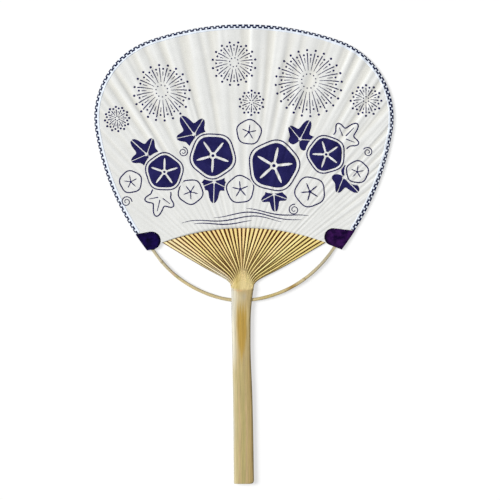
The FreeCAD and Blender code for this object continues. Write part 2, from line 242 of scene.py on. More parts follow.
def ripples(number, height, seed, creases):
    """Relief of a pasted sheet: sags between the ribs that bend and swell unevenly, and narrow creases along
    the ribs. A wave of so many turns per rib has the slope of the paper there times its share, and the slope
    grows up the blade. A tanh keeps the whole within a limit."""
    chance = np.random.default_rng(seed)
    pitch = THREAD_PITCH * (1 + np.clip(height, 0, None) / WINDOW_HEIGHT)
    slope = between(LOW_SLOPE, HIGH_SLOPE, smooth_step(height, 25, 125))
    slope = slope * (1 - 0.45 * smooth_step(-number, 5, 13) + 0.2 * smooth_step(number, 3, 10))
    waves = RIB_RIPPLE * np.cos(2 * np.pi * number) * fading(height, 8, 30)
    for rate, share in WAVES:
        turn, reach, start, bend_start, bend_reach = chance.uniform(WAVE_FROM, WAVE_TO)
        swell = 0.6 + 0.4 * np.sin(height / reach + 2 * np.pi * turn * number + start)
        bend = 0.8 * np.sin(0.58 * np.pi * rate * number + bend_start + height / bend_reach)
        size = share * slope * pitch / (2 * np.pi * rate) * swell
        waves = waves + size * np.sin(2 * np.pi * rate * number + bend)
    for _ in range(creases):
        place, width, middle, length = chance.uniform(CREASE_FROM, CREASE_TO)
        sway = chance.uniform(-0.5, 0.5) * (height - middle) / 100
        ridge = np.exp(-np.abs(number - place - sway) / width) * bell(height, middle, length)
        waves = waves + chance.choice((-1, 1)) * chance.uniform(CREASE_LOW, CREASE_HIGH) * ridge
    return RIPPLE_LIMIT * np.tanh(waves / RIPPLE_LIMIT)


def paper_relief(plan, front):
    """Ripples of a paper in the plan."""
    seed, creases = (FRONT_SEED, FRONT_CREASES) if front else (BACK_SEED, BACK_CREASES)
    return ripples(rib_number(plan), over_lower_edge(plan), seed, creases)


def paper_height(plan, front):
    """Top of the front paper or bottom of the back one, which lies flatter. A paper stands off the ribs most
    over the thread at its lower edge, is rippled further up, and flat again at the rim."""
    low = fading(over_lower_edge(plan), LIP_START, LIP_END)
    fade = smooth_step(inside_rim(plan), 0, RIM_FADE)
    rise = fade * (PAPER_LIFT * (1 - low) + paper_relief(plan, front))
    if front:
        return RIB_HIGH + PAPER_THICK + LIP_RISE * low + rise
    return RIB_LOW - PAPER_THICK - LIP_RISE * low - BACK_SHARE * rise


# Meshes

def grid_faces(rows, columns, round_columns=False):
    """Four-cornered faces between neighbouring points of a grid, in rows one after another."""
    row, column = np.meshgrid(np.arange(rows - 1), np.arange(columns - (not round_columns)), indexing="ij")
    here, after = row * columns + column, row * columns + (column + 1) % columns
    return np.stack([here, after, after + columns, here + columns], axis=-1).reshape(-1, 4)


def make_piece(name, points, faces, finish, node=None, layout=None, tone=None, closed=True, crease=35):
    """One piece from points in millimetres and four-cornered faces, in place of a node of the frame. Points
    that meet are merged, which closes seams and poles. layout is a flat place in millimetres for each point,
    tone a colour."""
    mesh = bpy.data.meshes.new(name)
    points = np.asarray(points, float).reshape(-1, 3)
    mesh.from_pydata((points * MM).tolist(), [], faces.tolist())
    if layout is not None:
        places = mesh.uv_layers.new(name="layout")
        places.data.foreach_set("uv", layout.reshape(-1, 2)[faces.ravel()].astype(np.float32).ravel())
    if tone is not None:
        colours = mesh.attributes.new("tone", "FLOAT_COLOR", "POINT")
        full = np.ones((len(points), 4), np.float32)
        full[:, :3] = linear(tone.reshape(-1, 3))
        colours.data.foreach_set("color", full.ravel())
    work = bmesh.new()
    work.from_mesh(mesh)
    bmesh.ops.remove_doubles(work, verts=work.verts, dist=1e-7)
    if closed:
        bmesh.ops.recalc_face_normals(work, faces=work.faces)
    work.to_mesh(mesh)
    work.free()
    mesh.shade_smooth()
    mesh.set_sharp_from_angle(angle=math.radians(crease))
    piece = bpy.data.objects.new(name, mesh)
    bpy.context.scene.collection.objects.link(piece)
    mesh.materials.append(finish)
    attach(piece, "root")
    if node:
        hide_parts(node)
    return piece


def round_piece(name, points, finish, node, layout, tone=None, crease=35):
    """A closed piece from rows of points round its section, with both ends drawn in."""
    points = capped(points)
    faces = grid_faces(*points.shape[:2], round_columns=True)
    make_piece(name, points, faces, finish, node, layout, tone, crease=crease)


def thicken(piece, thickness, offset):
    """A sheet's thickness in millimetres, on the inner side (-1) or the outer side (1)."""
    wall = piece.modifiers.new("thickness", "SOLIDIFY")
    wall.thickness, wall.offset, wall.use_even_offset = thickness * MM, offset, False


def sheet_piece(name, points, turned, wall, offset, finish, node, layout=None, tone=None):
    """A grid of points as a sheet with a wall. It is turned over where its outer side would face inwards."""
    faces = grid_faces(*points.shape[:2])
    faces = faces[:, ::-1] if turned else faces
    piece = make_piece(name, points, faces, finish, node, layout, tone, closed=False)
    thicken(piece, wall, offset)
    return piece


def rounded_section(left, right, bottom, top, low_round, high_round, counts):
    """Rows of points round a section: four quarter circles joined by straight sides, anticlockwise from the
    lower right, as seen with Z up. counts gives points on a corner, on a side and on the top or bottom."""
    corner, side, flat = counts
    turn = np.linspace(0, np.pi / 2, corner)
    blocks = []
    places = ((right, bottom, low_round, -1, 1, -np.pi / 2), (right, top, high_round, -1, -1, 0),
              (left, top, high_round, 1, -1, np.pi / 2), (left, bottom, low_round, 1, 1, np.pi))
    for x, z, size, x_way, z_way, start in places:
        middle = paired(x + x_way * size, z + z_way * size)
        blocks.append(middle[:, None] + size[:, None, None] * from_right(start + turn))
    rows = []
    for index, count in enumerate((side, flat, side, flat)):
        first, second = blocks[index][:, -1:], blocks[(index + 1) % 4][:, :1]
        share = np.linspace(0, 1, count + 2)[1:-1][None, :, None]
        rows += [blocks[index], between(first, second, share)]
    return np.concatenate(rows, axis=1)


def capped(points):
    """The rows with a row at each end drawn in to its middle, which closes the ends."""
    first, last = (np.broadcast_to(row.mean(axis=0), row.shape)[None] for row in (points[0], points[-1]))
    return np.concatenate([first, points, last])


def capped_rows(values):
    """The values of the rows, with those of the end rows given to the drawn-in rows."""
    return np.concatenate([values[:1], values, values[-1:]])


# Finishes

def linear(colour):
    """Colours written from 0 to 255 as a screen shows them, as the light that they stand for."""
    share = np.asarray(colour, float) / 255
    return np.where(share < 0.04045, share / 12.92, ((share + 0.055) / 1.055) ** 2.4)


def paint(red, green, blue):
    """A colour for a socket, as light and without seeing through."""
    return (*linear((red, green, blue)), 1.0)


class Finish:
    """A procedural material: named helpers add nodes, and the shader's sockets take numbers or nodes."""

    def __init__(self, name, roughness, specular):
        self.material = bpy.data.materials.new(name)
        self.material.use_nodes = True
        self.tree = self.material.node_tree
        self.shader = self.tree.nodes["Principled BSDF"]
        self.set(self.shader, {"Roughness": roughness, "Specular IOR Level": specular})

    def set(self, node, sockets):
        """Links what is an output of a node, and sets what is a number or a colour."""
        for key, value in sockets.items():
            if isinstance(value, bpy.types.NodeSocket):
                self.tree.links.new(value, node.inputs[key])
            else:
                node.inputs[key].default_value = value

    def add(self, kind, sockets, output=0, **settings):
        """A node of a kind with its settings and sockets. Gives one of its outputs."""
        node = self.tree.nodes.new("ShaderNode" + kind)
        for key, value in settings.items():
            setattr(node, key, value)
        self.set(node, sockets)
        return node.outputs[output]

    def place(self, source, scale, shift=(0, 0, 0)):
        """Coordinates times a scale, which is one number or three, and shifted."""
        scale = scale if isinstance(scale, tuple) else (scale, scale, scale)
        coordinates = self.tree.nodes.new("ShaderNodeTexCoord").outputs[source]
        return self.add("Mapping", {"Vector": coordinates, "Scale": scale, "Location": shift})

    def noise(self, scale, detail, rough=0.55, twist=0.0, shift=(0, 0, 0), source="Object"):
        """A noise on the piece's own coordinates, with one scale or three."""
        vector = self.place(source, scale, shift)
        return self.add("TexNoise", {"Vector": vector, "Scale": 1.0, "Detail": detail, "Roughness": rough,
                                     "Distortion": twist})

    def tone(self):
        """The colour that the piece gives to each point."""
        return self.add("Attribute", {}, attribute_name="tone")

    def ramp(self, share, *stops):
        """Greys or colours at places of a share, run into each other."""
        node = self.tree.nodes.new("ShaderNodeValToRGB")
        while len(node.color_ramp.elements) < len(stops):
            node.color_ramp.elements.new(0.5)
        for element, (position, colour) in zip(node.color_ramp.elements, stops):
            element.position = position
            element.color = colour if hasattr(colour, "__len__") else (colour, colour, colour, 1)
        self.tree.links.new(share, node.inputs[0])
        return node.outputs[0]

    def mix(self, share, first, second, way="MIX"):
        """A share of the second colour laid on the first."""
        node = self.tree.nodes.new("ShaderNodeMix")
        node.data_type, node.blend_type, node.clamp_factor = "RGBA", way, True
        self.set(node, {0: share, 6: first, 7: second})
        return node.outputs[2]

    def times(self, first, second):
        """Two colours multiplied."""
        return self.mix(1.0, first, second, "MULTIPLY")

    def sum(self, way, first, second=0.0):
        """A sum worked out at each point, of one or two numbers."""
        return self.add("Math", {0: first, 1: second}, operation=way)

    def spots(self, first, second, noise, start, end, most=1.0):
        """A second colour over the first, where a noise goes from start to end, by a share at most."""
        return self.mix(self.ramp(noise, (start, 0.0), (end, most)), first, paint(*second))

    def dressed(self, colour, height, depth):
        """The material with its colour, and with a relief of a depth in millimetres."""
        relief = self.add("Bump", {"Height": height, "Distance": depth * MM, "Strength": 1.0})
        self.set(self.shader, {"Base Color": colour, "Normal": relief})
        return self.material


def bamboo(name, streak, fibre, shade, roughness, gloss, depth):
    """Split bamboo: the piece's own tone, broad streaks and fine fibres along it, and a few dark pores."""
    finish = Finish(name, roughness, gloss)
    streaks = finish.noise((0.02, streak, 1), 5.0, 0.6, source="UV")
    fibres = finish.noise((0.05, fibre, 1), 3.0, 0.7, shift=(7, 3, 0), source="UV")
    pores = finish.noise((0.6, fibre, 1), 2.0, 0.5, shift=(1, 9, 0), source="UV")
    low = 1 - shade
    streaked = finish.ramp(streaks, (0.32, low), (0.5, 1.0), (0.68, 1 + shade / 3))
    colour = finish.times(finish.tone(), streaked)
    colour = finish.times(colour, finish.ramp(fibres, (0.36, low), (0.55, 1.05)))
    colour = finish.spots(colour, (122, 88, 46), pores, 0.66, 0.76, 0.5)
    uneven = finish.ramp(streaks, (0.3, roughness + 0.08), (0.7, roughness - 0.08))
    finish.set(finish.shader, {"Roughness": uneven})
    return finish.dressed(colour, fibres, depth)


def washi(name, ground, fleck):
    """Hand-laid paper: cloudy fibres, a faint laid grain and small long flecks, times the piece's tint, which
    on the papers is painted shade in the valleys of their ripples.
    """
    finish = Finish(name, 0.88, 0.1)
    cloud = finish.noise(70, 6.0, 0.65, 0.6)
    fibres = finish.noise((420, 1500, 420), 4.0, 0.6, 1.5)
    flecks = finish.noise((260, 900, 300), 1.0, 0.4, 2.5, shift=(3, 1, 0))
    colour = finish.times(paint(*ground), finish.ramp(cloud, (0.3, 0.955), (0.7, 1.03)))
    colour = finish.times(colour, finish.ramp(fibres, (0.3, 0.97), (0.6, 1.015)))
    colour = finish.spots(colour, (206, 203, 192), flecks, 0.68, 0.78, fleck)
    return finish.dressed(finish.times(colour, finish.tone()), finish.sum("ADD", fibres, cloud), 0.035)


def navy_ink():
    """Printed ink that thins out a little on the tooth of the paper."""
    finish = Finish("navy_ink", 0.82, 0.08)
    tooth = finish.noise(1500, 3.0, 0.6)
    cloud = finish.noise(120, 3.0, 0.6)
    colour = finish.spots(paint(26, 24, 74), (38, 36, 92), cloud, 0.35, 0.7)
    colour = finish.spots(colour, (120, 122, 158), tooth, 0.62, 0.8, 0.35)
    return finish.dressed(colour, tooth, 0.02)


def checkered_paper(check_height, check_length, dark_share):
    """Two rows of navy checks on white along each half of the strip. The row is the distance from the middle
    of the strip in check heights, and a check is dark while the share of the pattern's length is under a
    limit."""
    finish = Finish("checkered_paper", 0.8, 0.1)
    layout = finish.add("SeparateXYZ", {"Vector": finish.place("UV", 1)}).node.outputs
    ragged = finish.noise(300, 2.0)
    ragged = finish.sum("MULTIPLY", finish.sum("SUBTRACT", ragged, 0.5), 0.2)
    across = finish.sum("ABSOLUTE", finish.sum("ADD", layout[1], ragged))
    row = finish.sum("DIVIDE", across, check_height)
    run = finish.sum("DIVIDE", finish.sum("ADD", layout[0], ragged), check_length)
    half_step = finish.sum("MULTIPLY", finish.sum("FLOOR", row), 0.5)
    phase = finish.sum("FRACT", finish.sum("ADD", run, half_step))
    dark = finish.sum("LESS_THAN", phase, dark_share)
    dark = finish.sum("MULTIPLY", dark, finish.sum("LESS_THAN", row, 2.0))
    fibres = finish.noise(900, 4.0, 0.65)
    white = finish.spots(paint(226, 235, 248), (240, 246, 253), fibres, 0.35, 0.7)
    navy = finish.spots(paint(1, 10, 46), (9, 24, 74), fibres, 0.35, 0.7)
    return finish.dressed(finish.mix(dark, white, navy), fibres, 0.03)


def indigo_paper(name, deep, light):
    """Dyed paper: uneven deep indigo, fibres, almost black cut edges and paler wear along the fold. The
    piece's tone holds the wear as red and the edges as green."""
    finish = Finish(name, 0.8, 0.06)
    cloud = finish.noise(210, 4.0, 0.6)
    fibres = finish.noise((900, 2200, 900), 4.0, 0.65, 1.2)
    wear, edge, _ = finish.add("SeparateColor", {"Color": finish.tone()}).node.outputs
    colour = finish.spots(paint(*deep), light, cloud, 0.36, 0.66)
    colour = finish.spots(colour, (44, 30, 84), fibres, 0.56, 0.75, 0.4)
    colour = finish.mix(edge, colour, paint(2, 0, 14))
    worn = finish.sum("MULTIPLY", wear, finish.ramp(fibres, (0.45, 0.0), (0.62, 1.0)))
    return finish.dressed(finish.mix(worn, colour, paint(120, 122, 160)), fibres, 0.05)


def cotton_thread():
    """Twisted cotton: slanting plies round the thread, from its length and its turn."""
    finish = Finish("cotton_thread", 0.85, 0.2)
    layout = finish.place("UV", (1.6, 1.0, 1))
    plies = finish.add("TexWave", {"Vector": layout, "Scale": 1.0, "Distortion": 0.6, "Detail": 2.0},
                       output=1, wave_type="BANDS", bands_direction="DIAGONAL")
    return finish.dressed(finish.mix(plies, paint(196, 190, 174), paint(238, 235, 226)), plies, 0.05)


handle_finish = bamboo("handle_bamboo_skin", 0.8, 3.6, 0.24, 0.5, 0.25, 0.05)
bow_finish = bamboo("bow_bamboo_skin", 1.2, 7.0, 0.16, 0.45, 0.4, 0.04)
rib_finish = bamboo("rib_bamboo", 2.0, 9.0, 0.14, 0.6, 0.1, 0.04)
front_finish = washi("printed_washi_ground", (231, 232, 230), 0.5)
back_finish = washi("plain_washi", (229, 227, 220), 0.7)
ink_finish = navy_ink()
check_finish = checkered_paper(1.38, 4.6, 0.69)
left_indigo_finish = indigo_paper("left_indigo_paper", (4, 0, 30), (26, 8, 76))
right_indigo_finish = indigo_paper("right_indigo_paper", (16, 0, 38), (58, 20, 82))
thread_finish = cotton_thread()

# Pale skin of the bow's ends and of the patch round the bow, and painted highlight along the handle's left
# edge.
STRAW, FRESH_STRAW, PALE_SKIN_AND_LIT_EDGE = (198, 176, 124), (229, 209, 150), (224, 218, 197)
# Painted shade in brown for the right edges of the handle and the crown.
GREY_EDGE, SHADED_EDGE_BROWN, OCHRE = (180, 179, 173), (188, 164, 110), (198, 177, 110)
OLIVE, ROSY, AMBER = (172, 163, 106), (202, 168, 138), (185, 149, 66)
# Painted shade for the crown's splits, also the real dark of the bow's nodes, and painted shade for the hole
# for the bow.
SCORCH, SPLIT_SHADE_AND_NODE_DARK, HOLE_SHADE = (160, 126, 60), (92, 58, 22), (74, 50, 24)
NODE_ORANGE, BOW_STRAW = (226, 172, 118), (205, 187, 140)
# Straw of the rib tops, and painted shade in brown for the gaps between the ribs.
RIB_STRAW, RIB_GAP_SHADE = (255, 230, 158), (92, 44, 0)
# Painted light for the far-left ribs: paler tops and paler gaps.
LIT_LEFT_STRAW, LIT_LEFT_GAP = (242, 233, 206), (178, 165, 130)
# Olive rib tops on the right, and painted shade in brown for their gaps.
OLIVE_STRAW, OLIVE_GAP_SHADE = (251, 229, 154), (84, 50, 0)
# Painted shade for the valleys of the paper's ripples, against plain white on the crests.
VALLEY_SHADE_TINT, CREST_TINT = (254, 252, 247), (255, 255, 255)


# Papers
PAPER_COLUMNS = 660
PAPER_SHARES = np.concatenate([np.linspace(0, 0.93, 58)[:-1], np.linspace(0.93, 1, 15)])


def paper_plan():
    """Points of a sheet in the plan: the first parameter is the share of the way along a rib line from the
    lower edge to the rim, closer near the rim, and the second the rib line, evenly along the rim."""
    number = rib_number(rim(HALF_RIM * np.linspace(-1, 1, PAPER_COLUMNS))[0])
    root, _, direction = rib_line(number)

    def line(way):
        return root + direction * way[..., None]

    near, far = np.zeros(PAPER_COLUMNS), np.full(PAPER_COLUMNS, FAN_LENGTH)
    start = halved(near, far, lambda way: over_lower_edge(line(way)) < 0, LINE_HALVINGS)
    end = halved(near, far, lambda way: inside_rim(line(way)) > 0, LINE_HALVINGS)
    return line(between(start, np.maximum(end, start), PAPER_SHARES[:, None]))


def paper(name, front, finish, node):
    """A sheet at its height over the plan, with painted shade, a little yellower, in the valleys of its
    ripples.
    """
    plan = paper_plan()
    # Painted shade: a little darker and yellower in the valleys of the ripples.
    tint = mixed(VALLEY_SHADE_TINT, CREST_TINT, smooth_step(paper_relief(plan, front), -0.4, 0.15))
    points = lifted(plan, paper_height(plan, front))
    piece = sheet_piece(name, points, not front, PAPER_THICK, -1, finish, node, tone=tint)


# Handle edges and crown
HANDLE_THICK, RAMP_LENGTH, RAMP_OVERRUN, RAMP_POWER = 5.0, 18.5, 4.0, 2.1
TONGUE_TOP, ROOT_TOP = 2.9, 2.65
HANDLE_SHARES = (0, 0.029, 0.106, 0.287, 0.574, 1)
HANDLE_WIDTHS = (19.0, 17.9, 16.2, 14.9, 15.6, 16.2)
HANDLE_SWAYS = (-1.2, -1.4, -2.1, -2.2, -1.0, 0.0)
BUTT_LEFT_ROUND, BUTT_RIGHT_ROUND = 0.7, 2.6
RAMP_FOOT = TONGUE_TIP - RAMP_LENGTH


def handle_edges(y):
    """Left and right edge of the handle: smooth curves through its stations, the round arch of the tongue
    above them, and quarter circles at the butt."""
    drop = (TONGUE_FOOT - y) / (TONGUE_FOOT - BUTT)
    width = smooth_curve(drop, HANDLE_SHARES, HANDLE_WIDTHS)
    sway = smooth_curve(drop, HANDLE_SHARES, HANDLE_SWAYS)
    share = np.clip((TONGUE_TIP - y) / TONGUE_LENGTH, 0, 1)
    width = np.where(y > TONGUE_FOOT, TONGUE_WIDTH * share ** (1 / ARCH_POWER), width)
    sway = np.where(y > TONGUE_FOOT, TONGUE_SWAY, sway)
    edges = []
    for side, size in ((-1, BUTT_LEFT_ROUND), (1, BUTT_RIGHT_ROUND)):
        low = np.clip(size - (y - BUTT), 0, size)
        edges.append(sway + side * (width / 2 - size + np.sqrt(size ** 2 - low ** 2)))
    return edges


def crown_height(x, y):
    """Face of the pared crown: a hollow slope from the handle's face to the tongue, lower at its edges."""
    slope = np.clip((y - RAMP_FOOT) / (RAMP_LENGTH + RAMP_OVERRUN), 0, 1)
    pared = between(TONGUE_TOP, HANDLE_THICK, (1 - slope) ** RAMP_POWER)
    left, right = handle_edges(y)
    edge = np.abs(2 * (x - left) / np.maximum(right - left, 0.1) - 1)
    low = smooth_step(edge, 0.3, 1.0) * smooth_step(y, RAMP_FOOT + 1, TONGUE_FOOT + 3)
    return between(pared, ROOT_TOP, low)


def crown_splits(x, y):
    """How far the crown is split between the ribs: wholly along its arch, and unevenly less below it."""
    side = np.clip(2 * np.abs(x - TONGUE_SWAY) / TONGUE_WIDTH, 0, 1)
    below = TONGUE_TIP - TONGUE_LENGTH * side ** ARCH_POWER - y
    uneven = 0.7 * np.sin(3.1 * x) + 0.5 * np.sin(7.3 * x + 1)
    return fading(below + uneven * smooth_step(below, 0, 1.5), 0.6, 4.2)


def crown_tone(x):
    """Fresh straw, ochre in a broad band on the left, and painted shade in brown towards the right edge."""
    return layered(FRESH_STRAW, (OCHRE, 0.9 * bell(x, -5.4, 2.0)), (SHADED_EDGE_BROWN, smooth_step(x, 6.0, 10.0)))


# Ribs, with rows on the crown, in the window and in the blade. A section has points on a corner, on a side
# and on the top or bottom.
RIB_ROWS, RIB_SECTION, LENGTH_STEPS = (18, 36, 26), (4, 3, 2), 4000
RIB_BOW, RIB_BOW_REACH, ROOT_TURN, CROWN_FOOT = 1.3, 7.0, 2.0, -27.4
RIB_ROOT_SHARE, RIB_PROUD_SHARE, RIB_TOP_SHARE, RIB_SIDE_SHARE = 0.36, 0.68, 0.53, 1.06
RIB_SINK, RIB_TIP_WIDTH, RIB_TIP_GAP, RIB_PAPER_GAP = 0.45, 1.6, 0.3, 0.03
ROOT_BOTTOM, RIDGE_RISE, RIDGE_SINK, RIDGE_DEPTH = 0.25, 0.14, 0.32, 0.8
LEAST_RIB, RIB_ROUND, RIB_SEED = 0.25, 0.15, 100


def rib_path(number, way):
    """Points along a rib, from its root at 0. Beyond the root it bows towards the middle of the blade by way
    times exp of minus way, which sets it out more upright. Before the root it runs on down the crown, and
    turns straight down by exp of minus way."""
    root, _, direction = rib_line(number)
    lean = abs(number) / RIBS_EACH_SIDE
    inward = math.copysign(1, number) * np.array([-direction[1], direction[0]])
    start = direction + inward * lean * RIB_BOW * math.e / RIB_BOW_REACH
    beyond, before = np.maximum(way, 0), np.maximum(-way, 0)
    bow = lean * RIB_BOW * beyond / RIB_BOW_REACH * np.exp(1 - beyond / RIB_BOW_REACH)
    drift = start[0] / start[1] * ROOT_TURN * (1 - np.exp(-before / ROOT_TURN))
    return root + direction * beyond[:, None] + inward * bow[:, None] - paired(drift, before)


def rib_pitch(number, way):
    """Mean distance from a rib to the lines of its two neighbours, at distances along its own line."""
    root, _, direction = rib_line(number)
    roots, _, beside = rib_line(np.array([number - 1, number + 1]))
    to_next = (root + direction * way[:, None])[:, None] - roots
    return np.abs(to_next[..., 0] * beside[:, 1] - to_next[..., 1] * beside[:, 0]).mean(axis=1)


def rib_strip(index):
    """One rib: a rounded section carried along its path. On the crown it is a low ridge that sinks into the
    face. In the window it is deep, with sides that slope out to the next rib at half its depth, and a slow
    sway and swell of its own, and every second one lies lower near the root, where it carries painted shade.
    Between the papers it lies against both."""
    chance = np.random.default_rng(RIB_SEED + index)
    number = index - 1 - RIBS_EACH_SIDE
    root, crossing, direction = rib_line(number)
    free = distance(crossing, root)
    reach = np.linspace(0, FAN_LENGTH, LENGTH_STEPS)
    within = inside_rim(root + direction * reach[:, None]) > RIB_TIP_GAP
    length = reach[within | (reach < free)].max()
    depth = root[1] - CROWN_FOOT + chance.uniform(-0.6, 0.6)
    on_crown, in_window, in_paper = RIB_ROWS
    way = np.concatenate([np.linspace(-depth, 0, on_crown)[:-1], np.linspace(0, free + 6, in_window),
                          np.linspace(free + 8, length, in_paper)])
    middle = rib_path(number, way)
    ahead = heading(middle)
    aside = paired(ahead[:, 1], -ahead[:, 0])
    share = np.clip(way / free, 0, 1)
    pitch = rib_pitch(number, share * free)

    near_root = smooth_step(way, -2, 3) * fading(share, 0.2, 0.6)
    # How far every second rib is set lower near the root; the same share paints shade on it.
    sunk = index % 2 * chance.uniform(0.5, 1.0) * near_root
    root_share = RIB_ROOT_SHARE if index % 2 else RIB_PROUD_SHARE
    broad = between(root_share, RIB_TOP_SHARE, smooth_step(share, 0.1, 0.8)) * pitch
    tip_share = np.clip((way - free) / (FAN_LENGTH - free), 0, 1)
    width = np.where(way < free, broad, between(broad[-1], RIB_TIP_WIDTH, tip_share))
    loose = share * fading(way, free - 3, free + 6)
    width = width * (1 + 0.06 * np.sin(way / chance.uniform(3, 7) + chance.uniform(0, 6)) * loose)
    width = width * (1 + chance.uniform(-0.14, 0.2) * loose)
    slow = np.sin(way / chance.uniform(6, 14) + chance.uniform(0, 6))
    sway = 0.10 * loose * np.sin(np.pi * share) * slow

    in_blade = smooth_step(way, free + 5, free + 20)
    ridge = crown_height(*middle.T) + RIDGE_RISE - RIDGE_SINK * smooth_step(-way, 0.35 * depth, depth)
    top = between(ROOT_TOP, RIB_HIGH, share) + 0.12 * chance.uniform(-1, 1) * loose
    top = between(top, ridge, fading(way, -1.5, 2.5)) - RIB_SINK * sunk
    places = middle[:, None] + aside[:, None] * (width[:, None] * np.linspace(-0.55, 0.55, 5))[..., None]
    under = paper_height(places, True).min(axis=1) - PAPER_THICK - RIB_PAPER_GAP
    over = paper_height(places, False).max(axis=1) + PAPER_THICK + RIB_PAPER_GAP
    top = between(top, under, in_blade)
    bottom = between(ROOT_BOTTOM, RIB_LOW, smooth_step(way, free - 7, free - 1))
    bottom = between(bottom, ridge - RIDGE_DEPTH, fading(way, -1.5, 0))
    bottom = between(bottom, np.minimum(over, under - LEAST_RIB), in_blade)

    size = RIB_ROUND * np.minimum(width, top - bottom)
    section = rounded_section(-width / 2, width / 2, bottom, top, size, size, RIB_SECTION)
    level = np.abs(2 * (section[..., 1] - bottom[:, None]) / (top - bottom)[:, None] - 1)
    flare = (np.maximum(RIB_SIDE_SHARE * pitch / width, 1) - 1) * fading(way, free - 1, free + 4)
    from_middle = section[..., 0] * (1 + flare[:, None] * (1 - level)) + sway[:, None] * level
    plan = middle[:, None] + aside[:, None] * from_middle[..., None]
    around = np.linspace(0, 4, section.shape[1]) + 5.3 * index
    layout = paired(capped_rows(way)[:, None] + 37 * index, around)
    tone = rib_tone(number, way, share, middle[:, 0], depth, sunk, level, chance)
    round_piece("rib_strip_%02d" % index, lifted(plan, section[..., 1]), rib_finish,
                "rib_%02d" % index, layout, capped_rows(tone), crease=50)


def rib_tone(number, way, share, x, depth, sunk, level, chance):
    """Straw on top and painted shade in brown on the sloping sides that fill the gaps, by the level from the
    half depth (0) to the top and bottom (1); the painted shade grows darker towards the root. The ribs on the
    far left carry painted light, paler tops and gaps, and those on the right are olive. Towards the crown
    they take its colour, as far as a crack that differs from rib to rib. Ribs set lower near the root carry
    painted shade."""
    # Painted light: the ribs on the far left lie along the lamp's light, so their tops and gaps are painted
    # paler.
    pale = smooth_step(-number, 13, 17) * (1 - 0.6 * smooth_step(way, 8, 26))
    olive = smooth_step(number, 8, 15)
    own = chance.uniform(-14, 8) + chance.uniform(-3, 3, 3)
    straw = mixed(mixed(RIB_STRAW, OLIVE_STRAW, olive), LIT_LEFT_STRAW, pale) + own
    # Painted shade in the gaps between the ribs, darker towards the root where the gaps are deep and narrow.
    brown = mixed(RIB_GAP_SHADE, OLIVE_GAP_SHADE, olive) * (0.7 + 0.3 * smooth_step(share, 0.3, 0.8))[:, None]
    brown = mixed(brown, LIT_LEFT_GAP, pale)
    crack = depth * chance.uniform(0.15, 0.5) * (0.6 + 0.9 * smooth_step(abs(number), 3, 12))
    crown = crown_tone(x) + 0.6 * own
    straw = mixed(straw, crown, 0.8 * fading(way, -1, 7))
    brown = mixed(brown, straw, 0.5 * bell(number, 0, 1.8) * fading(way, 3, 16))
    # Painted shade on every second rib, where it is set lower near the root.
    straw = mixed(straw, brown, 0.8 * sunk)
    # Painted shade on the sloping sides, straw on the tops.
    tone = mixed(brown[:, None], straw[:, None], smooth_step(level, 0.76, 0.97))
    tone = mixed(tone, crown[:, None], fading(way, -crack - 0.6, -crack + 0.6)[:, None])
    return np.clip(tone, 0, 255)


for rib_index in range(1, RIB_COUNT + 1):
    rib_strip(rib_index)
paper("front_washi", True, front_finish, "front_paper")
paper("back_washi", False, back_finish, "back_paper")


# Edge binding and corner patches. Each patch has its length on the rim, the place of its round along the rim
# and inwards, the size of the round as a share of the way to it, and its reach past the corner.
BINDING_WIDTH, COVER_WALL, BINDING_LAP = 3.7, 0.15, 0.5
BINDING_BULGE, PATCH_BULGE = 0.35, 0.4
BINDING_POINTS, BINDING_FLAT, BINDING_FOLD = 900, 9, 7
PATCH_SIDE, PATCH_ROUND, PATCH_FLAT, PATCH_FOLD = 8, 45, 15, 9
WEAR_ROWS, EDGE_ROWS = 3.2, 2.0
BINDING_DRIFT, BINDING_BACK = 0.85, ((0.85, 4, 24), (0.45, -100, 16), (0.85, 140, 24))
LEFT_PATCH = (14.6, 3.2, 7.1, 0.87, 1.3)
RIGHT_PATCH = (18.0, 4.1, 11.1, 0.586, 0.3)


def folded_cover(fold, edge, out, rows_flat, rows_fold, bulge):
    """A strip folded round the rim. Each row runs from the free edge on the front straight to the fold line,
    round it on half an ellipse, and back under to the free edge on the back. It lies on the papers."""
    share = np.linspace(1, 0, rows_flat)[None, :, None]
    flat = between(fold[:, None], edge[:, None], share)
    front = paper_height(flat, True) + COVER_THICK - COVER_WALL
    back = paper_height(flat, False) - COVER_THICK + COVER_WALL
    turn = np.linspace(0, np.pi, rows_fold + 2)[1:-1][None, :]
    half, middle = (front[:, -1:] - back[:, -1:]) / 2, (front[:, -1:] + back[:, -1:]) / 2
    round_plan = fold[:, None] + out[:, None] * (bulge * np.sin(turn))[..., None]
    round_level = middle + half * np.cos(turn)
    plan = np.concatenate([flat, round_plan, flat[:, ::-1]], axis=1)
    level = np.concatenate([front, round_level, back[:, ::-1]], axis=1)
    return lifted(plan, level)


def edge_binding():
    """The checkered strip on the rim between the patches. Its layout is the run along the rim and the
    distance from the middle of the strip, which drifts over to the back but for three places."""
    start, end = LEFT_PATCH[0] - BINDING_LAP - HALF_RIM, HALF_RIM - RIGHT_PATCH[0] + BINDING_LAP
    run = np.linspace(start, end, BINDING_POINTS)
    fold, out = rim(run)
    points = folded_cover(fold, fold - out * BINDING_WIDTH, out, BINDING_FLAT, BINDING_FOLD, BINDING_BULGE)
    flat = np.linspace(BINDING_WIDTH, 0, BINDING_FLAT)
    across = np.concatenate([flat, np.zeros(BINDING_FOLD), -flat[::-1]])
    drift = BINDING_DRIFT - sum(size * bell(run, centre, width) for size, centre, width in BINDING_BACK)
    drift = drift - 0.2 * smooth_step(run, 165, 185) - 0.5 * smooth_step(run, 190, 225)
    layout = paired(run[:, None], across + drift[:, None])
    sheet_piece("checkered_binding", points, False, COVER_WALL, 1, check_finish,
                "edge_binding", layout)


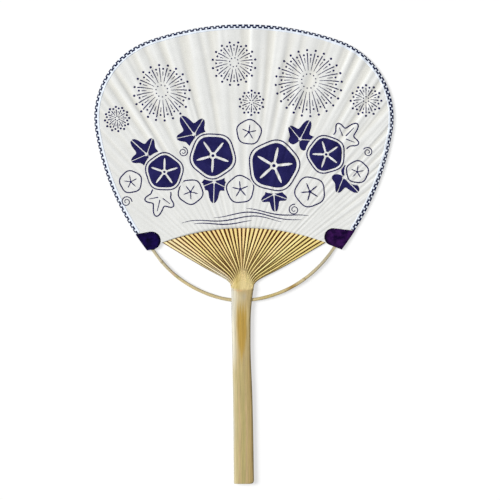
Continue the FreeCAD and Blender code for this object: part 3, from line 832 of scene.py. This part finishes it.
def corner_patch(side, word, sizes, finish):
    """The folded tongue of indigo paper on a corner. Its free edge goes from the tip along the tangent to a
    circle, round the circle and along the other tangent back to the rim. Rows run from there to the fold."""
    rim_length, round_along, round_inset, round_share, reach = sizes
    fold, out = rim(np.linspace(HALF_RIM + reach, HALF_RIM - rim_length, 2 * PATCH_SIDE + PATCH_ROUND))
    along = (fold[-1] - CORNER) / distance(fold[-1], CORNER)
    inward = np.array([-along[1], along[0]])
    centre = CORNER + along * round_along + inward * round_inset
    radius = distance(centre, fold[0]) * round_share
    frame_turn = math.atan2(inward[1], inward[0])

    def touch(start, way):
        line = centre - start
        angle = math.atan2(-line[1], -line[0]) + way * math.acos(radius / np.hypot(*line)) - frame_turn
        return (angle + np.pi) % (2 * np.pi) - np.pi

    angle = np.linspace(touch(fold[0], -1), touch(fold[-1], 1), PATCH_ROUND) + frame_turn
    arc = centre + radius * from_right(angle)
    share = np.linspace(0, 1, PATCH_SIDE + 1)[:, None]
    edge = np.concatenate([between(fold[0], arc[0], share[:-1]), arc, between(arc[-1], fold[-1], share[1:])])
    points = folded_cover(fold, edge, out, PATCH_FLAT, PATCH_FOLD, PATCH_BULGE)
    wear = np.zeros(points.shape)
    count = points.shape[1]
    column = np.arange(count)
    wear[..., 0] = 255 * bell(column, count / 2, WEAR_ROWS)
    wear[..., 1] = 255 * bell(np.minimum(column, count - 1 - column), 0, EDGE_ROWS)
    points[..., 0] *= side
    sheet_piece(word + "_indigo_patch", points, side < 0, COVER_WALL, 1, finish,
                word + "_corner_patch", tone=wear)


edge_binding()
corner_patch(1, "right", RIGHT_PATCH, right_indigo_finish)
corner_patch(-1, "left", LEFT_PATCH, left_indigo_finish)

# Bow
BOW_SWAY, BOW_DROP, BOW_GAP, BOW_INSET = -0.8, 13.6, 2.9, 6.0
BOW_WIDTH, BOW_TIP_WIDTH, BOW_TIP_ANGLE, BOW_WIDTH_SHARE = 3.0, 1.8, math.radians(62), 0.9
BOW_THICK, BOW_TIP_THICK, BOW_SHAVE, BOW_SHAVE_END = 2.2, 0.8, 14.0, -1.5
BOW_NODES, BOW_NODE_RISE = (0.60, -0.86), 0.14
BOW_ROWS, BOW_SECTION, BOW_SEARCH = 240, (7, 3, 4), np.linspace(0.5, 1.5, 2000)
BOW_SPOTS = ((ROSY, -0.70, 0.022, 0.6), (OLIVE, -0.655, 0.02, 0.6), (OCHRE, 0.25, 0.12, 0.7),
             (SCORCH, 0.47, 0.05, 0.85))
BOW_SPAN = CORNER_X - BOW_GAP
BOW_BOTTOM = TONGUE_FOOT - BOW_DROP
BOW_RISE = LOWER_CENTRE[1] + math.sqrt(LOWER_RADIUS ** 2 - BOW_SPAN ** 2) - BOW_BOTTOM
BOW_RADIUS = (BOW_SPAN ** 2 + BOW_RISE ** 2) / (2 * BOW_RISE)
BOW_CENTRE = np.array([BOW_SWAY, BOW_BOTTOM + BOW_RADIUS])
BOW_SHIFT = (BOW_WIDTH - BOW_TIP_WIDTH) / (1 - math.cos(BOW_TIP_ANGLE))


def bow_path(angle):
    """Middle line, half width and outward direction of the bow at angles from straight down, right positive:
    it lies between an outer circle and an inner one that is set higher. Three bells of the angle bend it a
    little: out at the handle and in on both sides."""
    way = paired(np.sin(angle), -np.cos(angle))
    outer = BOW_CENTRE + BOW_RADIUS * way
    inner = BOW_CENTRE + [0, BOW_SHIFT] + (BOW_RADIUS + BOW_SHIFT - BOW_WIDTH) * way
    bend = 1.05 * bell(angle, -0.08, 0.30) - 0.95 * bell(angle, 0.82, 0.40) - 0.5 * bell(angle, -0.95, 0.25)
    return (outer + inner) / 2 + way * bend[..., None], distance(outer, inner) / 2, way


def bow_angle(side, height):
    """The angle at which the bow is at a height over the lower edge of the paper."""
    return side * np.interp(height, over_lower_edge(bow_path(BOW_SEARCH * side)[0]), BOW_SEARCH)


def bow_strip():
    """A rounded section carried along the bow's circle, thinned at both ends, with two low nodes."""
    angle = np.linspace(bow_angle(-1, BOW_INSET), bow_angle(1, BOW_INSET), BOW_ROWS)
    middle, half, way = bow_path(angle)
    shaved = smooth_step(over_lower_edge(middle), BOW_SHAVE_END - BOW_SHAVE, BOW_SHAVE_END)
    thick = between(BOW_THICK, BOW_TIP_THICK, shaved)
    knots = BOW_NODE_RISE * sum(bell(angle, node, 0.012) for node in BOW_NODES)
    half = half * (BOW_WIDTH_SHARE + 0.03 * np.sin(angle * 37)) + knots
    bottom = np.full_like(angle, RIB_LOW)
    section = rounded_section(-half, half, bottom, RIB_LOW + thick + knots, 0.25 * thick, 0.42 * thick,
                              BOW_SECTION)
    plan = middle[:, None] + way[:, None] * section[..., :1]
    turn = capped_rows(angle)[:, None]
    layout = paired(BOW_RADIUS * turn, np.linspace(0, 9, section.shape[1]))
    tone = bow_tone(turn, np.clip(2 * capped_rows(section)[..., 0] / BOW_WIDTH, -1, 1))
    round_piece("bow_strip", lifted(plan, section[..., 1]), bow_finish, "bow", layout, tone)


def bow_tone(turn, outward):
    """Straw, paler towards both ends, with rosy, olive, ochre and scorched spots along it, darker on its
    inner side, and a dark ring at each node."""
    turn = np.broadcast_to(turn, outward.shape)
    ends = smooth_step(np.abs(turn), 0.55, 0.85)
    tone = mixed(BOW_STRAW, PALE_SKIN_AND_LIT_EDGE, 0.4 * ends) * (1 - 0.1 * ends)[..., None]
    for colour, centre, width, share in BOW_SPOTS:
        tone = mixed(tone, colour, share * bell(turn, centre, width))
    tone = tone * (1 - 0.16 * smooth_step(-outward, 0.1, 0.9))[..., None]
    right, left = (bell(turn, node + 0.012, 0.006) for node in BOW_NODES)
    return mixed(tone, SPLIT_SHADE_AND_NODE_DARK, 0.3 * np.maximum(right, left))


bow_strip()

# Handle, with rows at distances from the butt, and then from a place to the next by steps
NODE_Y, NODE_RISE, NODE_GROOVE = -28.8, 0.10, 0.07
HOLE_Y, HOLE_Z, HOLE_DEPTH = -36.7, 2.0, 3.4
BUTT_EASE, FACE_CROWN, FACE_DROP, FACE_ROUND, CROWN_ROUND, BACK_ROUND = 0.5, 0.55, 0.1, 1.9, 0.3, 0.8
HANDLE_SECTION = (8, 12, 44)
BUTT_STEPS = (0, 0.04, 0.15, 0.35, 0.6, 0.9, 1.3, 1.8, 2.3, 2.8)
HANDLE_STEPS = ((-180, -42, 1.5), (-42, -31, 0.16), (-31, TONGUE_TIP, 0.2))


def handle_strip():
    """A rounded section with a crowned face carried along the handle. At the crown it is the lower of that
    face and the pared one. A ridge and a groove ring the node, and the section's sides are pushed in where
    the bow goes through."""
    y = np.concatenate([BUTT + np.array(BUTT_STEPS), *(np.arange(*steps) for steps in HANDLE_STEPS),
                        [TONGUE_TIP - 0.02]])
    left, right = handle_edges(y)
    ring = NODE_RISE * bell(y, NODE_Y, 0.9) - NODE_GROOVE * bell(y, NODE_Y - 1.1, 0.4)
    left, right = left - ring, right + ring
    end = np.clip(BUTT_EASE - (y - BUTT), 0, BUTT_EASE)
    ease = BUTT_EASE - np.sqrt(BUTT_EASE ** 2 - end ** 2)
    middle, half = (left + right) / 2, np.maximum((right - left) / 2, 0.05)
    narrow = np.minimum(1, half / 4)
    high_round = between(FACE_ROUND, CROWN_ROUND, smooth_step(y, NODE_Y - 1, TONGUE_FOOT + 1.5))
    section = rounded_section(left, right, ease, HANDLE_THICK - ease, BACK_ROUND * narrow,
                              high_round * narrow, HANDLE_SECTION)
    x, level = section[..., 0], section[..., 1]
    across = (x - middle[:, None]) / half[:, None]
    rise = np.clip(2 * level / HANDLE_THICK - 1, 0, 1)
    level = level - FACE_CROWN * rise * np.clip(np.abs(across), 0, 1) ** 2
    level = level + (ring[:, None] - FACE_DROP) * rise
    lengthways = np.broadcast_to(y[:, None], level.shape)
    splits = crown_splits(x, lengthways)
    pared = crown_height(x, lengthways) - 0.5 * splits
    edge = NODE_Y + 0.5 * np.sin(1.1 * x + 1) + 0.3 * np.sin(2.7 * x)
    cut = smooth_step(level - pared, -0.3, 0.3) * smooth_step(lengthways - edge, -1.6, 1.6)
    level = np.where(lengthways > RAMP_FOOT, np.minimum(level, pared), level)
    hole_y = fading(np.abs(y - HOLE_Y), 1.55, 1.9)[:, None]
    hole_z = fading(np.abs(level - HOLE_Z), 1.15, 1.5)
    hole = hole_y * hole_z * (np.abs(across) > 0.6)
    pushed = x - np.sign(across) * HOLE_DEPTH * hole
    layout = capped_rows(paired(lengthways, x + 1.3 * level))
    tone = handle_tone(pushed, lengthways, level, across, cut, hole, splits)
    round_piece("handle_strip", lifted(paired(pushed, lengthways), level), handle_finish,
                "handle", layout, capped_rows(tone), crease=40)


def handle_tone(x, y, z, across, cut, hole, splits):
    """Straw bamboo with a painted highlight, almost white, along the left edge and painted shade in brown
    along the right, more evenly olive lower down. Narrow rosy and olive bands run along it. An amber streak
    lies below the bow, a paler patch round it, a faint orange line at the node, painted shade in the crown's
    splits, and painted shade in the hole."""
    shift = across + 0.04 * np.sin(y / 17) + 0.02 * np.sin(y / 5.3)
    below, low = smooth_step(-y, 78, 100), smooth_step(-y, 92, 130)
    wander = x + 0.25 * np.sin(y / 9) + 0.12 * np.sin(y / 2.3 + 1)
    ragged = y + 2.6 * np.sin(2.9 * x + 0.5) + 1.6 * np.sin(6.7 * x)
    shrink = 3.2 * smooth_step(-y, 58, 90)
    amber = smooth_step(wander - 0.7 * shrink, -6.6, -3.9) * fading(wander + shrink, 0.8, 3.4)
    amber = amber * smooth_step(-ragged, 39, 50) * fading(-ragged, 74, 91)
    spread = smooth_step(-y, 40, 50) * fading(-y, 62, 80)
    line = bell(y, NODE_Y - 0.6 + 0.01 * (x + 1.5) ** 2, 0.7) * smooth_step(z, 2.5, 4) * bell(x, -4.0, 3.6)
    return layered(
        STRAW,
        (OLIVE, 0.35 * below),
        # Painted highlight, almost white, along the left edge.
        (PALE_SKIN_AND_LIT_EDGE, fading(shift, -0.85, -0.2) * (1 - 0.75 * below)),
        (GREY_EDGE, fading(shift, -1.05, -0.8) * (1 - 0.3 * below)),
        # Painted shade in brown along the right edge.
        (SHADED_EDGE_BROWN, smooth_step(shift + 0.35 * below, 0.6, 1.1)),
        (ROSY, bell(shift, -0.38, 0.07) * (0.15 + 0.35 * low)),
        (OLIVE, bell(shift, 0.0, 0.11) * 0.6 * low),
        (ROSY, bell(shift, 0.32, 0.08) * (0.15 + 0.35 * low)),
        (PALE_SKIN_AND_LIT_EDGE, bell(y, -35, 4.5) * smooth_step(-shift, -0.5, 0.2) * 0.35),
        (GREY_EDGE, bell(y, -34, 3.0) * bell(shift, 0.22, 0.2) * 0.35),
        (AMBER, amber * (0.88 + 0.1 * np.sin(4.3 * x + 1))),
        (FRESH_STRAW, bell(wander, 3.2, 1.0) * spread * 0.35),
        # The pared crown, with painted shade in its splits.
        (mixed(crown_tone(x), SPLIT_SHADE_AND_NODE_DARK, 0.8 * splits), cut),
        (NODE_ORANGE, line * (0.45 + 0.2 * np.sin(2.1 * x))),
        # Painted shade in the hole where the bow goes through.
        (HOLE_SHADE, hole * 0.9))


handle_strip()

# Thread
STRAND_END, STRAND_SQUARENESS, THREAD_SWING = 18.45, 3.2, 0.65
THREAD_SIDES, STRAND_POINTS, LASHING_POINTS = 8, 1100, 260
LASHING_TURNS, LASHING_PITCH, LASHING_GAP, LASHING_POWER = 4, 0.5, 0.3, 0.6


def thread(name, path, node):
    """A round thread along a path: a circle in the plane of the path's sideways and upright directions."""
    ahead = heading(path)
    aside = np.cross(ahead, [0.0, 0.0, 1.0])
    aside /= np.linalg.norm(aside, axis=1, keepdims=True)
    upright = np.cross(aside, ahead)
    turn = np.linspace(0, 2 * np.pi, THREAD_SIDES + 1)[:-1][None, :, None]
    around = aside[:, None] * np.cos(turn) + upright[:, None] * np.sin(turn)
    run = np.concatenate([[0], np.cumsum(np.linalg.norm(np.diff(path, axis=0), axis=1))])
    layout = paired(capped_rows(run)[:, None], np.linspace(0, 1, THREAD_SIDES))
    round_piece(name, path[:, None] + THREAD_THICK / 2 * around, thread_finish, node, layout)


def strand(name, radius, first, node):
    """One strand: an arc at the thread line whose height swings between the two faces of the ribs, as the
    tanh of a cosine of the rib number."""
    number = np.linspace(-STRAND_END, STRAND_END, STRAND_POINTS)
    swing = np.tanh(STRAND_SQUARENESS * np.cos(np.pi * number)) / math.tanh(STRAND_SQUARENESS)
    plan = LOWER_CENTRE + radius * from_up(SPREAD_ANGLE * number / RIBS_EACH_SIDE)
    thread(name, lifted(plan, RIB_MIDDLE + first * THREAD_SWING * swing), node)


def lashing(side, word):
    """Turns round the end of the bow: a rounded loop, from a cosine and a sine raised to a power below 1,
    carried along the bow."""
    middle, half, way = bow_path(np.array([bow_angle(side, THREAD_INSET)]))
    ahead = np.array([-way[0, 1], way[0, 0]])
    turn = np.linspace(0, LASHING_TURNS * 2 * np.pi, LASHING_POINTS)
    across, up = (np.sign(wave) * np.abs(wave) ** LASHING_POWER for wave in (np.cos(turn), np.sin(turn)))
    along = (turn / (2 * np.pi) - LASHING_TURNS / 2) * LASHING_PITCH
    plan = middle[0] + way[0] * ((half[0] + LASHING_GAP) * across)[:, None] + ahead * along[:, None]
    thread(word + "_lashing_turns", lifted(plan, RIB_MIDDLE + THREAD_SWING * up), word + "_bow_lashing")


strand("upper_twining", THREAD_RADIUS + THREAD_SPACING / 2, 1, "upper_thread_strand")
strand("lower_twining", THREAD_RADIUS - THREAD_SPACING / 2, -1, "lower_thread_strand")
lashing(1, "right")
lashing(-1, "left")


# Print: a summer design of bursts, bindweed flowers with their leaves, and flowing water
INK_RISE, INK_REACH, INK_THICK, LINE_WIDTH, FLOWER_SPOKES = 0.04, 0.6, 0.12, 1.0, 161


def corner_turns(plan, faces):
    """Twice the signed area of the triangle at each corner of each face, from the sides that meet there."""
    corners = plan.reshape(-1, 2)[faces]
    ahead, back = np.roll(corners, -1, axis=1) - corners, np.roll(corners, 1, axis=1) - corners
    return ahead[..., 0] * back[..., 1] - ahead[..., 1] * back[..., 0]


class Print:
    """Flat shapes in the plan of the blade, gathered and then laid on the front paper as one film of ink.
    Discs that have been put in front hide what is added later."""

    def __init__(self):
        self.points, self.faces, self.count = [], [], 0
        self.centres, self.sizes = np.zeros((0, 2)), np.zeros(0)

    def grid(self, plan):
        """A grid of points. A point behind a disc moves straight out to its edge. Faces that lie wholly
        behind discs are left out, and so are those with a point that two discs hide or with a corner that
        the move turns over."""
        away = plan[..., None, :] - self.centres
        far = np.maximum(np.linalg.norm(away, axis=-1), 1e-6)
        depth = np.where(far < self.sizes, self.sizes - far, 0)
        behind = depth > 0
        moved = plan + (away * (depth / far)[..., None]).sum(axis=-2)
        hidden, buried = behind.any(axis=-1).ravel(), (behind.sum(axis=-1) > 1).ravel()
        faces = grid_faces(*plan.shape[:2])
        turned = (corner_turns(plan, faces) * corner_turns(moved, faces) < 0).any(axis=1)
        faces = faces[~(hidden[faces].all(axis=1) | buried[faces].any(axis=1) | turned)]
        self.faces.append(faces + self.count)
        self.points.append(moved.reshape(-1, 2))
        self.count += plan.shape[0] * plan.shape[1]

    def put_in_front(self, centre, size):
        """A disc that hides what is added after it."""
        self.centres = np.concatenate([self.centres, [centre]])
        self.sizes = np.append(self.sizes, size)

    def stroke(self, path, width):
        """A band on both sides of a path, half a width each way along its normal."""
        ahead = heading(path)
        half = np.broadcast_to(np.asarray(width) / 2, len(path))[:, None]
        aside = paired(-ahead[:, 1], ahead[:, 0]) * half
        self.grid(np.stack([path + aside, path, path - aside], axis=1))

    def ring(self, centre, inner, outer, rings, spokes):
        """The field between two radii, which are numbers or functions of the angle."""
        angle = np.linspace(0, 2 * np.pi, spokes)
        inner, outer = (radius(angle) if callable(radius) else radius for radius in (inner, outer))
        share = np.linspace(0, 1, rings)[:, None]
        radius = np.broadcast_to(between(inner, outer, share), (rings, spokes))
        self.grid(np.asarray(centre) + radius[..., None] * from_right(angle))

    def dot(self, centre, size):
        """A full disc."""
        self.ring(centre, 0, size, 3, 17)

    def lay(self, name):
        """The film at the height of the highest paper nearby, so that no crease cuts through it, and closed
        below by a second face inside the paper."""
        plan, faces = np.concatenate(self.points), np.concatenate(self.faces)
        used, places = np.unique(faces, return_inverse=True)
        plan, faces = plan[used], places.reshape(faces.shape)
        around = INK_REACH * np.array([(0, 0), (1, 0), (-1, 0), (0, 1), (0, -1)])
        level = np.max([paper_height(plan + step, True) for step in around], axis=0) + INK_RISE
        points = lifted(plan, level)
        first, second, third, fourth = (points[faces[:, corner]] for corner in range(4))
        down = np.cross(third - first, fourth - second)[:, 2] < 0
        faces[down] = faces[down][:, ::-1]
        thicken(make_piece(name, points, faces, ink_finish, closed=False), INK_THICK, -1)


def bindweed(film, centre, size, turn, filled):
    """A flower seen from the front, with a five-waved rim. A filled one is a dark field with a white star,
    and an open one a line round the rim with a dark star. The star's rays are a high power of a cosine."""

    def lobes(share, margin=0.0):
        return lambda angle: share * (size * (1 + 0.04 * np.cos(5 * (angle - turn)))) + margin

    def star(foot, ray):
        return lambda angle: size * (foot + ray * np.abs(np.cos(2.5 * (angle - turn))) ** 14)

    if filled:
        film.ring(centre, star(0.16, 0.64), lobes(0.93), 12, FLOWER_SPOKES)
        film.ring(centre, 0, 0.07 * size, 3, 25)
    else:
        film.ring(centre, 0, star(0.12, 0.56), 8, FLOWER_SPOKES)
    film.ring(centre, lobes(1.03), lobes(1.03, LINE_WIDTH), 3, FLOWER_SPOKES)
    film.put_in_front(centre, 1.07 * size + 2.0)


def leaf(film, base, length, turn, filled):
    """A leaf of three pointed lobes with a heart-shaped foot. Its reach from the base is a sum of bells of
    the angle. A filled one is split by white veins of even width, and an open one is drawn by lines."""

    def reach(angle):
        far = np.abs(angle)
        lobes = 0.46 + 0.54 * bell(far, 0, 0.36) + 0.34 * bell(far, 1.15, 0.34) + 0.10 * bell(far, 2.3, 0.5)
        return length * lobes * (1 - 0.9 * bell(far, np.pi, 0.4))

    def placed(angle, radius):
        return np.asarray(base) + radius[..., None] * from_right(angle + turn)

    veins = (-3.0, -1.15, 0.0, 1.15, 3.0)
    if filled:
        for start, end in zip(veins, veins[1:]):
            share = np.linspace(0, 1, 30)[None, :]
            out = np.linspace(0.14, 1, 14)[:, None]
            gap = 0.34 / (out * length)
            angle = between(start + gap, end - gap, share)
            film.grid(placed(angle, reach(between(start, end, share)) * out))
        return
    angle = np.linspace(-2.4, 2.4, 150)
    film.stroke(placed(angle, reach(angle)), LINE_WIDTH)
    for vein in veins[1:4]:
        film.stroke(placed(vein, reach(vein) * np.linspace(0.16, 0.74, 12)), np.linspace(0.9, 0.5, 12))


def burst(film, centre, size, rays, turn):
    """A firework: long drooping rays that swell outwards and end in dots, and short rays between them."""
    for index in range(rays):
        angle = turn + 2 * np.pi * index / rays
        for start, end, shift, wide in ((0.30, 0.84, 0, 0.95), (0.52, 0.68, np.pi / rays, 0.75)):
            way = np.linspace(start, end, 18) * size
            path = way[:, None] * from_right(angle + shift)
            path[:, 1] -= 0.10 * size * (way / size) ** 3
            film.stroke(path + centre, np.linspace(0.35, wide, 18))
            tip = path[-1] * (1 + 2.2 / np.hypot(*path[-1])) + centre
            film.dot(tip, 0.5 * wide + 0.45)
    for index in range(rays // 2):
        angle = turn + 4 * np.pi * (index + 0.5) / rays
        film.dot(centre + 0.2 * size * from_right(angle), 0.55)


def curl(film, start, size, turn, way):
    """A tendril: a spiral that draws in as it turns."""
    share = np.linspace(0, 1, 60)
    path = size * (1 - 0.8 * share)[:, None] * from_right(turn + way * share * 3.4 * np.pi)
    film.stroke(path - path[0] + start, np.linspace(0.85, 0.55, 60))


def water(film, row, start, end):
    """A line of flowing water: a low sine wave on a hollow arc, each row higher than the last. Its width is
    the root of half a sine, which thins it to both ends."""
    x = np.linspace(start, end, 120)
    y = 26 + 3.0 * row + 1.7 * np.sin(x / 8.5 + 0.5 * row) - 0.0022 * x ** 2
    film.stroke(paired(x, y), 0.95 * np.sqrt(np.sin(np.pi * np.linspace(0.02, 0.98, 120))))


# Bursts: middle, size, rays and turn. Flowers and leaves: place, size and turn, filled or drawn by lines.
# Tendrils: place, size, turn and the way that they wind. Water: the row, and where it starts and ends.
BURSTS = (((52, 139), 29, 24, 0.05), ((-66, 131), 24, 20, 0.1), ((-8, 154), 18, 16, 0.2),
          ((98, 124), 12, 12, 0.0), ((-102, 109), 9, 12, 0.1), ((6, 122), 9, 10, 0.3))
FLOWERS = (((24, 71), 19, 0.1, True), ((-25, 79), 17, 0.9, True), ((-64, 66), 14, 0.3, True),
           ((66, 80), 14, 0.6, True), ((-3, 52), 10, 0.4, False), ((-43, 50), 9, 1.0, False),
           ((53, 50), 11, 0.7, False), ((91, 66), 8, 0.2, False), ((-91, 58), 8, 0.5, False),
           ((4, 98), 9, 0.2, False))
LEAVES = (((-40, 96), 18, 2.2, True), ((45, 92), 17, 1.1, True), ((80, 93), 16, 0.8, False),
          ((-78, 80), 17, 2.4, True), ((-67, 46), 16, -1.8, False), ((-24, 58), 17, -1.6, True),
          ((24, 48), 14, -1.5, True), ((80, 62), 17, -0.8, True))
TENDRILS = (((-90, 42), 4.5, 0.0, 1), ((-49, 86), 4, 1.6, -1), ((41, 40), 4.5, 1.4, 1),
            ((96, 84), 4, 2.6, -1))
WATER_ROWS = ((0, -40, 6), (1, -50, 30), (2, -24, 46), (3, 2, 52))
PRINTS = (("print_bursts", ((burst, BURSTS),)),
          ("print_bindweed", ((bindweed, FLOWERS), (leaf, LEAVES), (curl, TENDRILS))),
          ("print_stream", ((water, WATER_ROWS),)))

for print_name, drawings in PRINTS:
    ink = Print()
    for draw, entries in drawings:
        for entry in entries:
            draw(ink, *entry)
    ink.lay(print_name)

# Studio
FLOOR_HALF, FLOOR_LEVEL, FLOOR_LIGHT, SKY_LIGHT = 4.0, -0.0001, 0.62, 0.25
scene = bpy.context.scene
scene.view_settings.view_transform = "Standard"


def seen_share(tree):
    """1 for what the camera sees, straight or by gloss or glass, and 0 for the light that falls on things."""
    path = tree.nodes.new("ShaderNodeLightPath")
    seen = path.outputs["Is Camera Ray"]
    for kind in ("Is Glossy Ray", "Is Transmission Ray"):
        either = tree.nodes.new("ShaderNodeMath")
        either.operation = "MAXIMUM"
        tree.links.new(seen, either.inputs[0])
        tree.links.new(path.outputs[kind], either.inputs[1])
        seen = either.outputs[0]
    return seen


def studio_floor():
    """A pale floor just under the fan. The lamp lights it as it lights the fan, and what it lacks to white
    is added for the camera."""
    finish = Finish("pale_floor", 0.9, 0.1)
    cloud = finish.noise(3, 2.0)
    grey = finish.ramp(cloud, (0.3, paint(169, 169, 169)), (0.7, paint(171, 171, 171)))
    glow = finish.sum("MULTIPLY", seen_share(finish.tree), FLOOR_LIGHT)
    finish.set(finish.shader, {"Base Color": grey, "Emission Color": (1, 1, 1, 1), "Emission Strength": glow})
    mesh = bpy.data.meshes.new("studio_floor")
    corners = [(x * FLOOR_HALF, y * FLOOR_HALF, FLOOR_LEVEL) for x, y in ((-1, -1), (1, -1), (1, 1), (-1, 1))]
    mesh.from_pydata(corners, [], [(0, 1, 2, 3)])
    mesh.materials.append(finish.material)
    floor = bpy.data.objects.new("studio_floor", mesh)
    scene.collection.objects.link(floor)


def lamp(name, azimuth, elevation, strength, spread):
    """A far soft lamp from an azimuth (from +X towards +Y) and an elevation, in degrees."""
    light = bpy.data.lights.new(name, "SUN")
    light.energy, light.angle = strength, math.radians(spread)
    holder = bpy.data.objects.new(name, light)
    holder.rotation_euler = (0, math.radians(90 - elevation), math.radians(azimuth))
    scene.collection.objects.link(holder)


def sky(level):
    """An even sky: the lamp's fill, and white where the camera, gloss or glass sees it."""
    world = bpy.data.worlds.new("studio_sky")
    scene.world = world
    world.use_nodes = True
    tree = world.node_tree
    strength = tree.nodes.new("ShaderNodeMapRange")
    strength.inputs["To Min"].default_value = level
    strength.inputs["To Max"].default_value = 1.0
    tree.links.new(seen_share(tree), strength.inputs["Value"])
    tree.links.new(strength.outputs[0], tree.nodes["Background"].inputs["Strength"])
    tree.nodes["Background"].inputs["Color"].default_value = (1, 1, 1, 1)


studio_floor()
lamp("key_lamp", 165, 42, 3.5, 30)
sky(SKY_LIGHT)

view = bpy.data.cameras.new("photo_view")
view.lens, view.sensor_width = 134.2, 36
viewer = bpy.data.objects.new("photo_view", view)
viewer.location = (0.00483, 0.00322, 1.5)
scene.collection.objects.link(viewer)
scene.camera = viewer
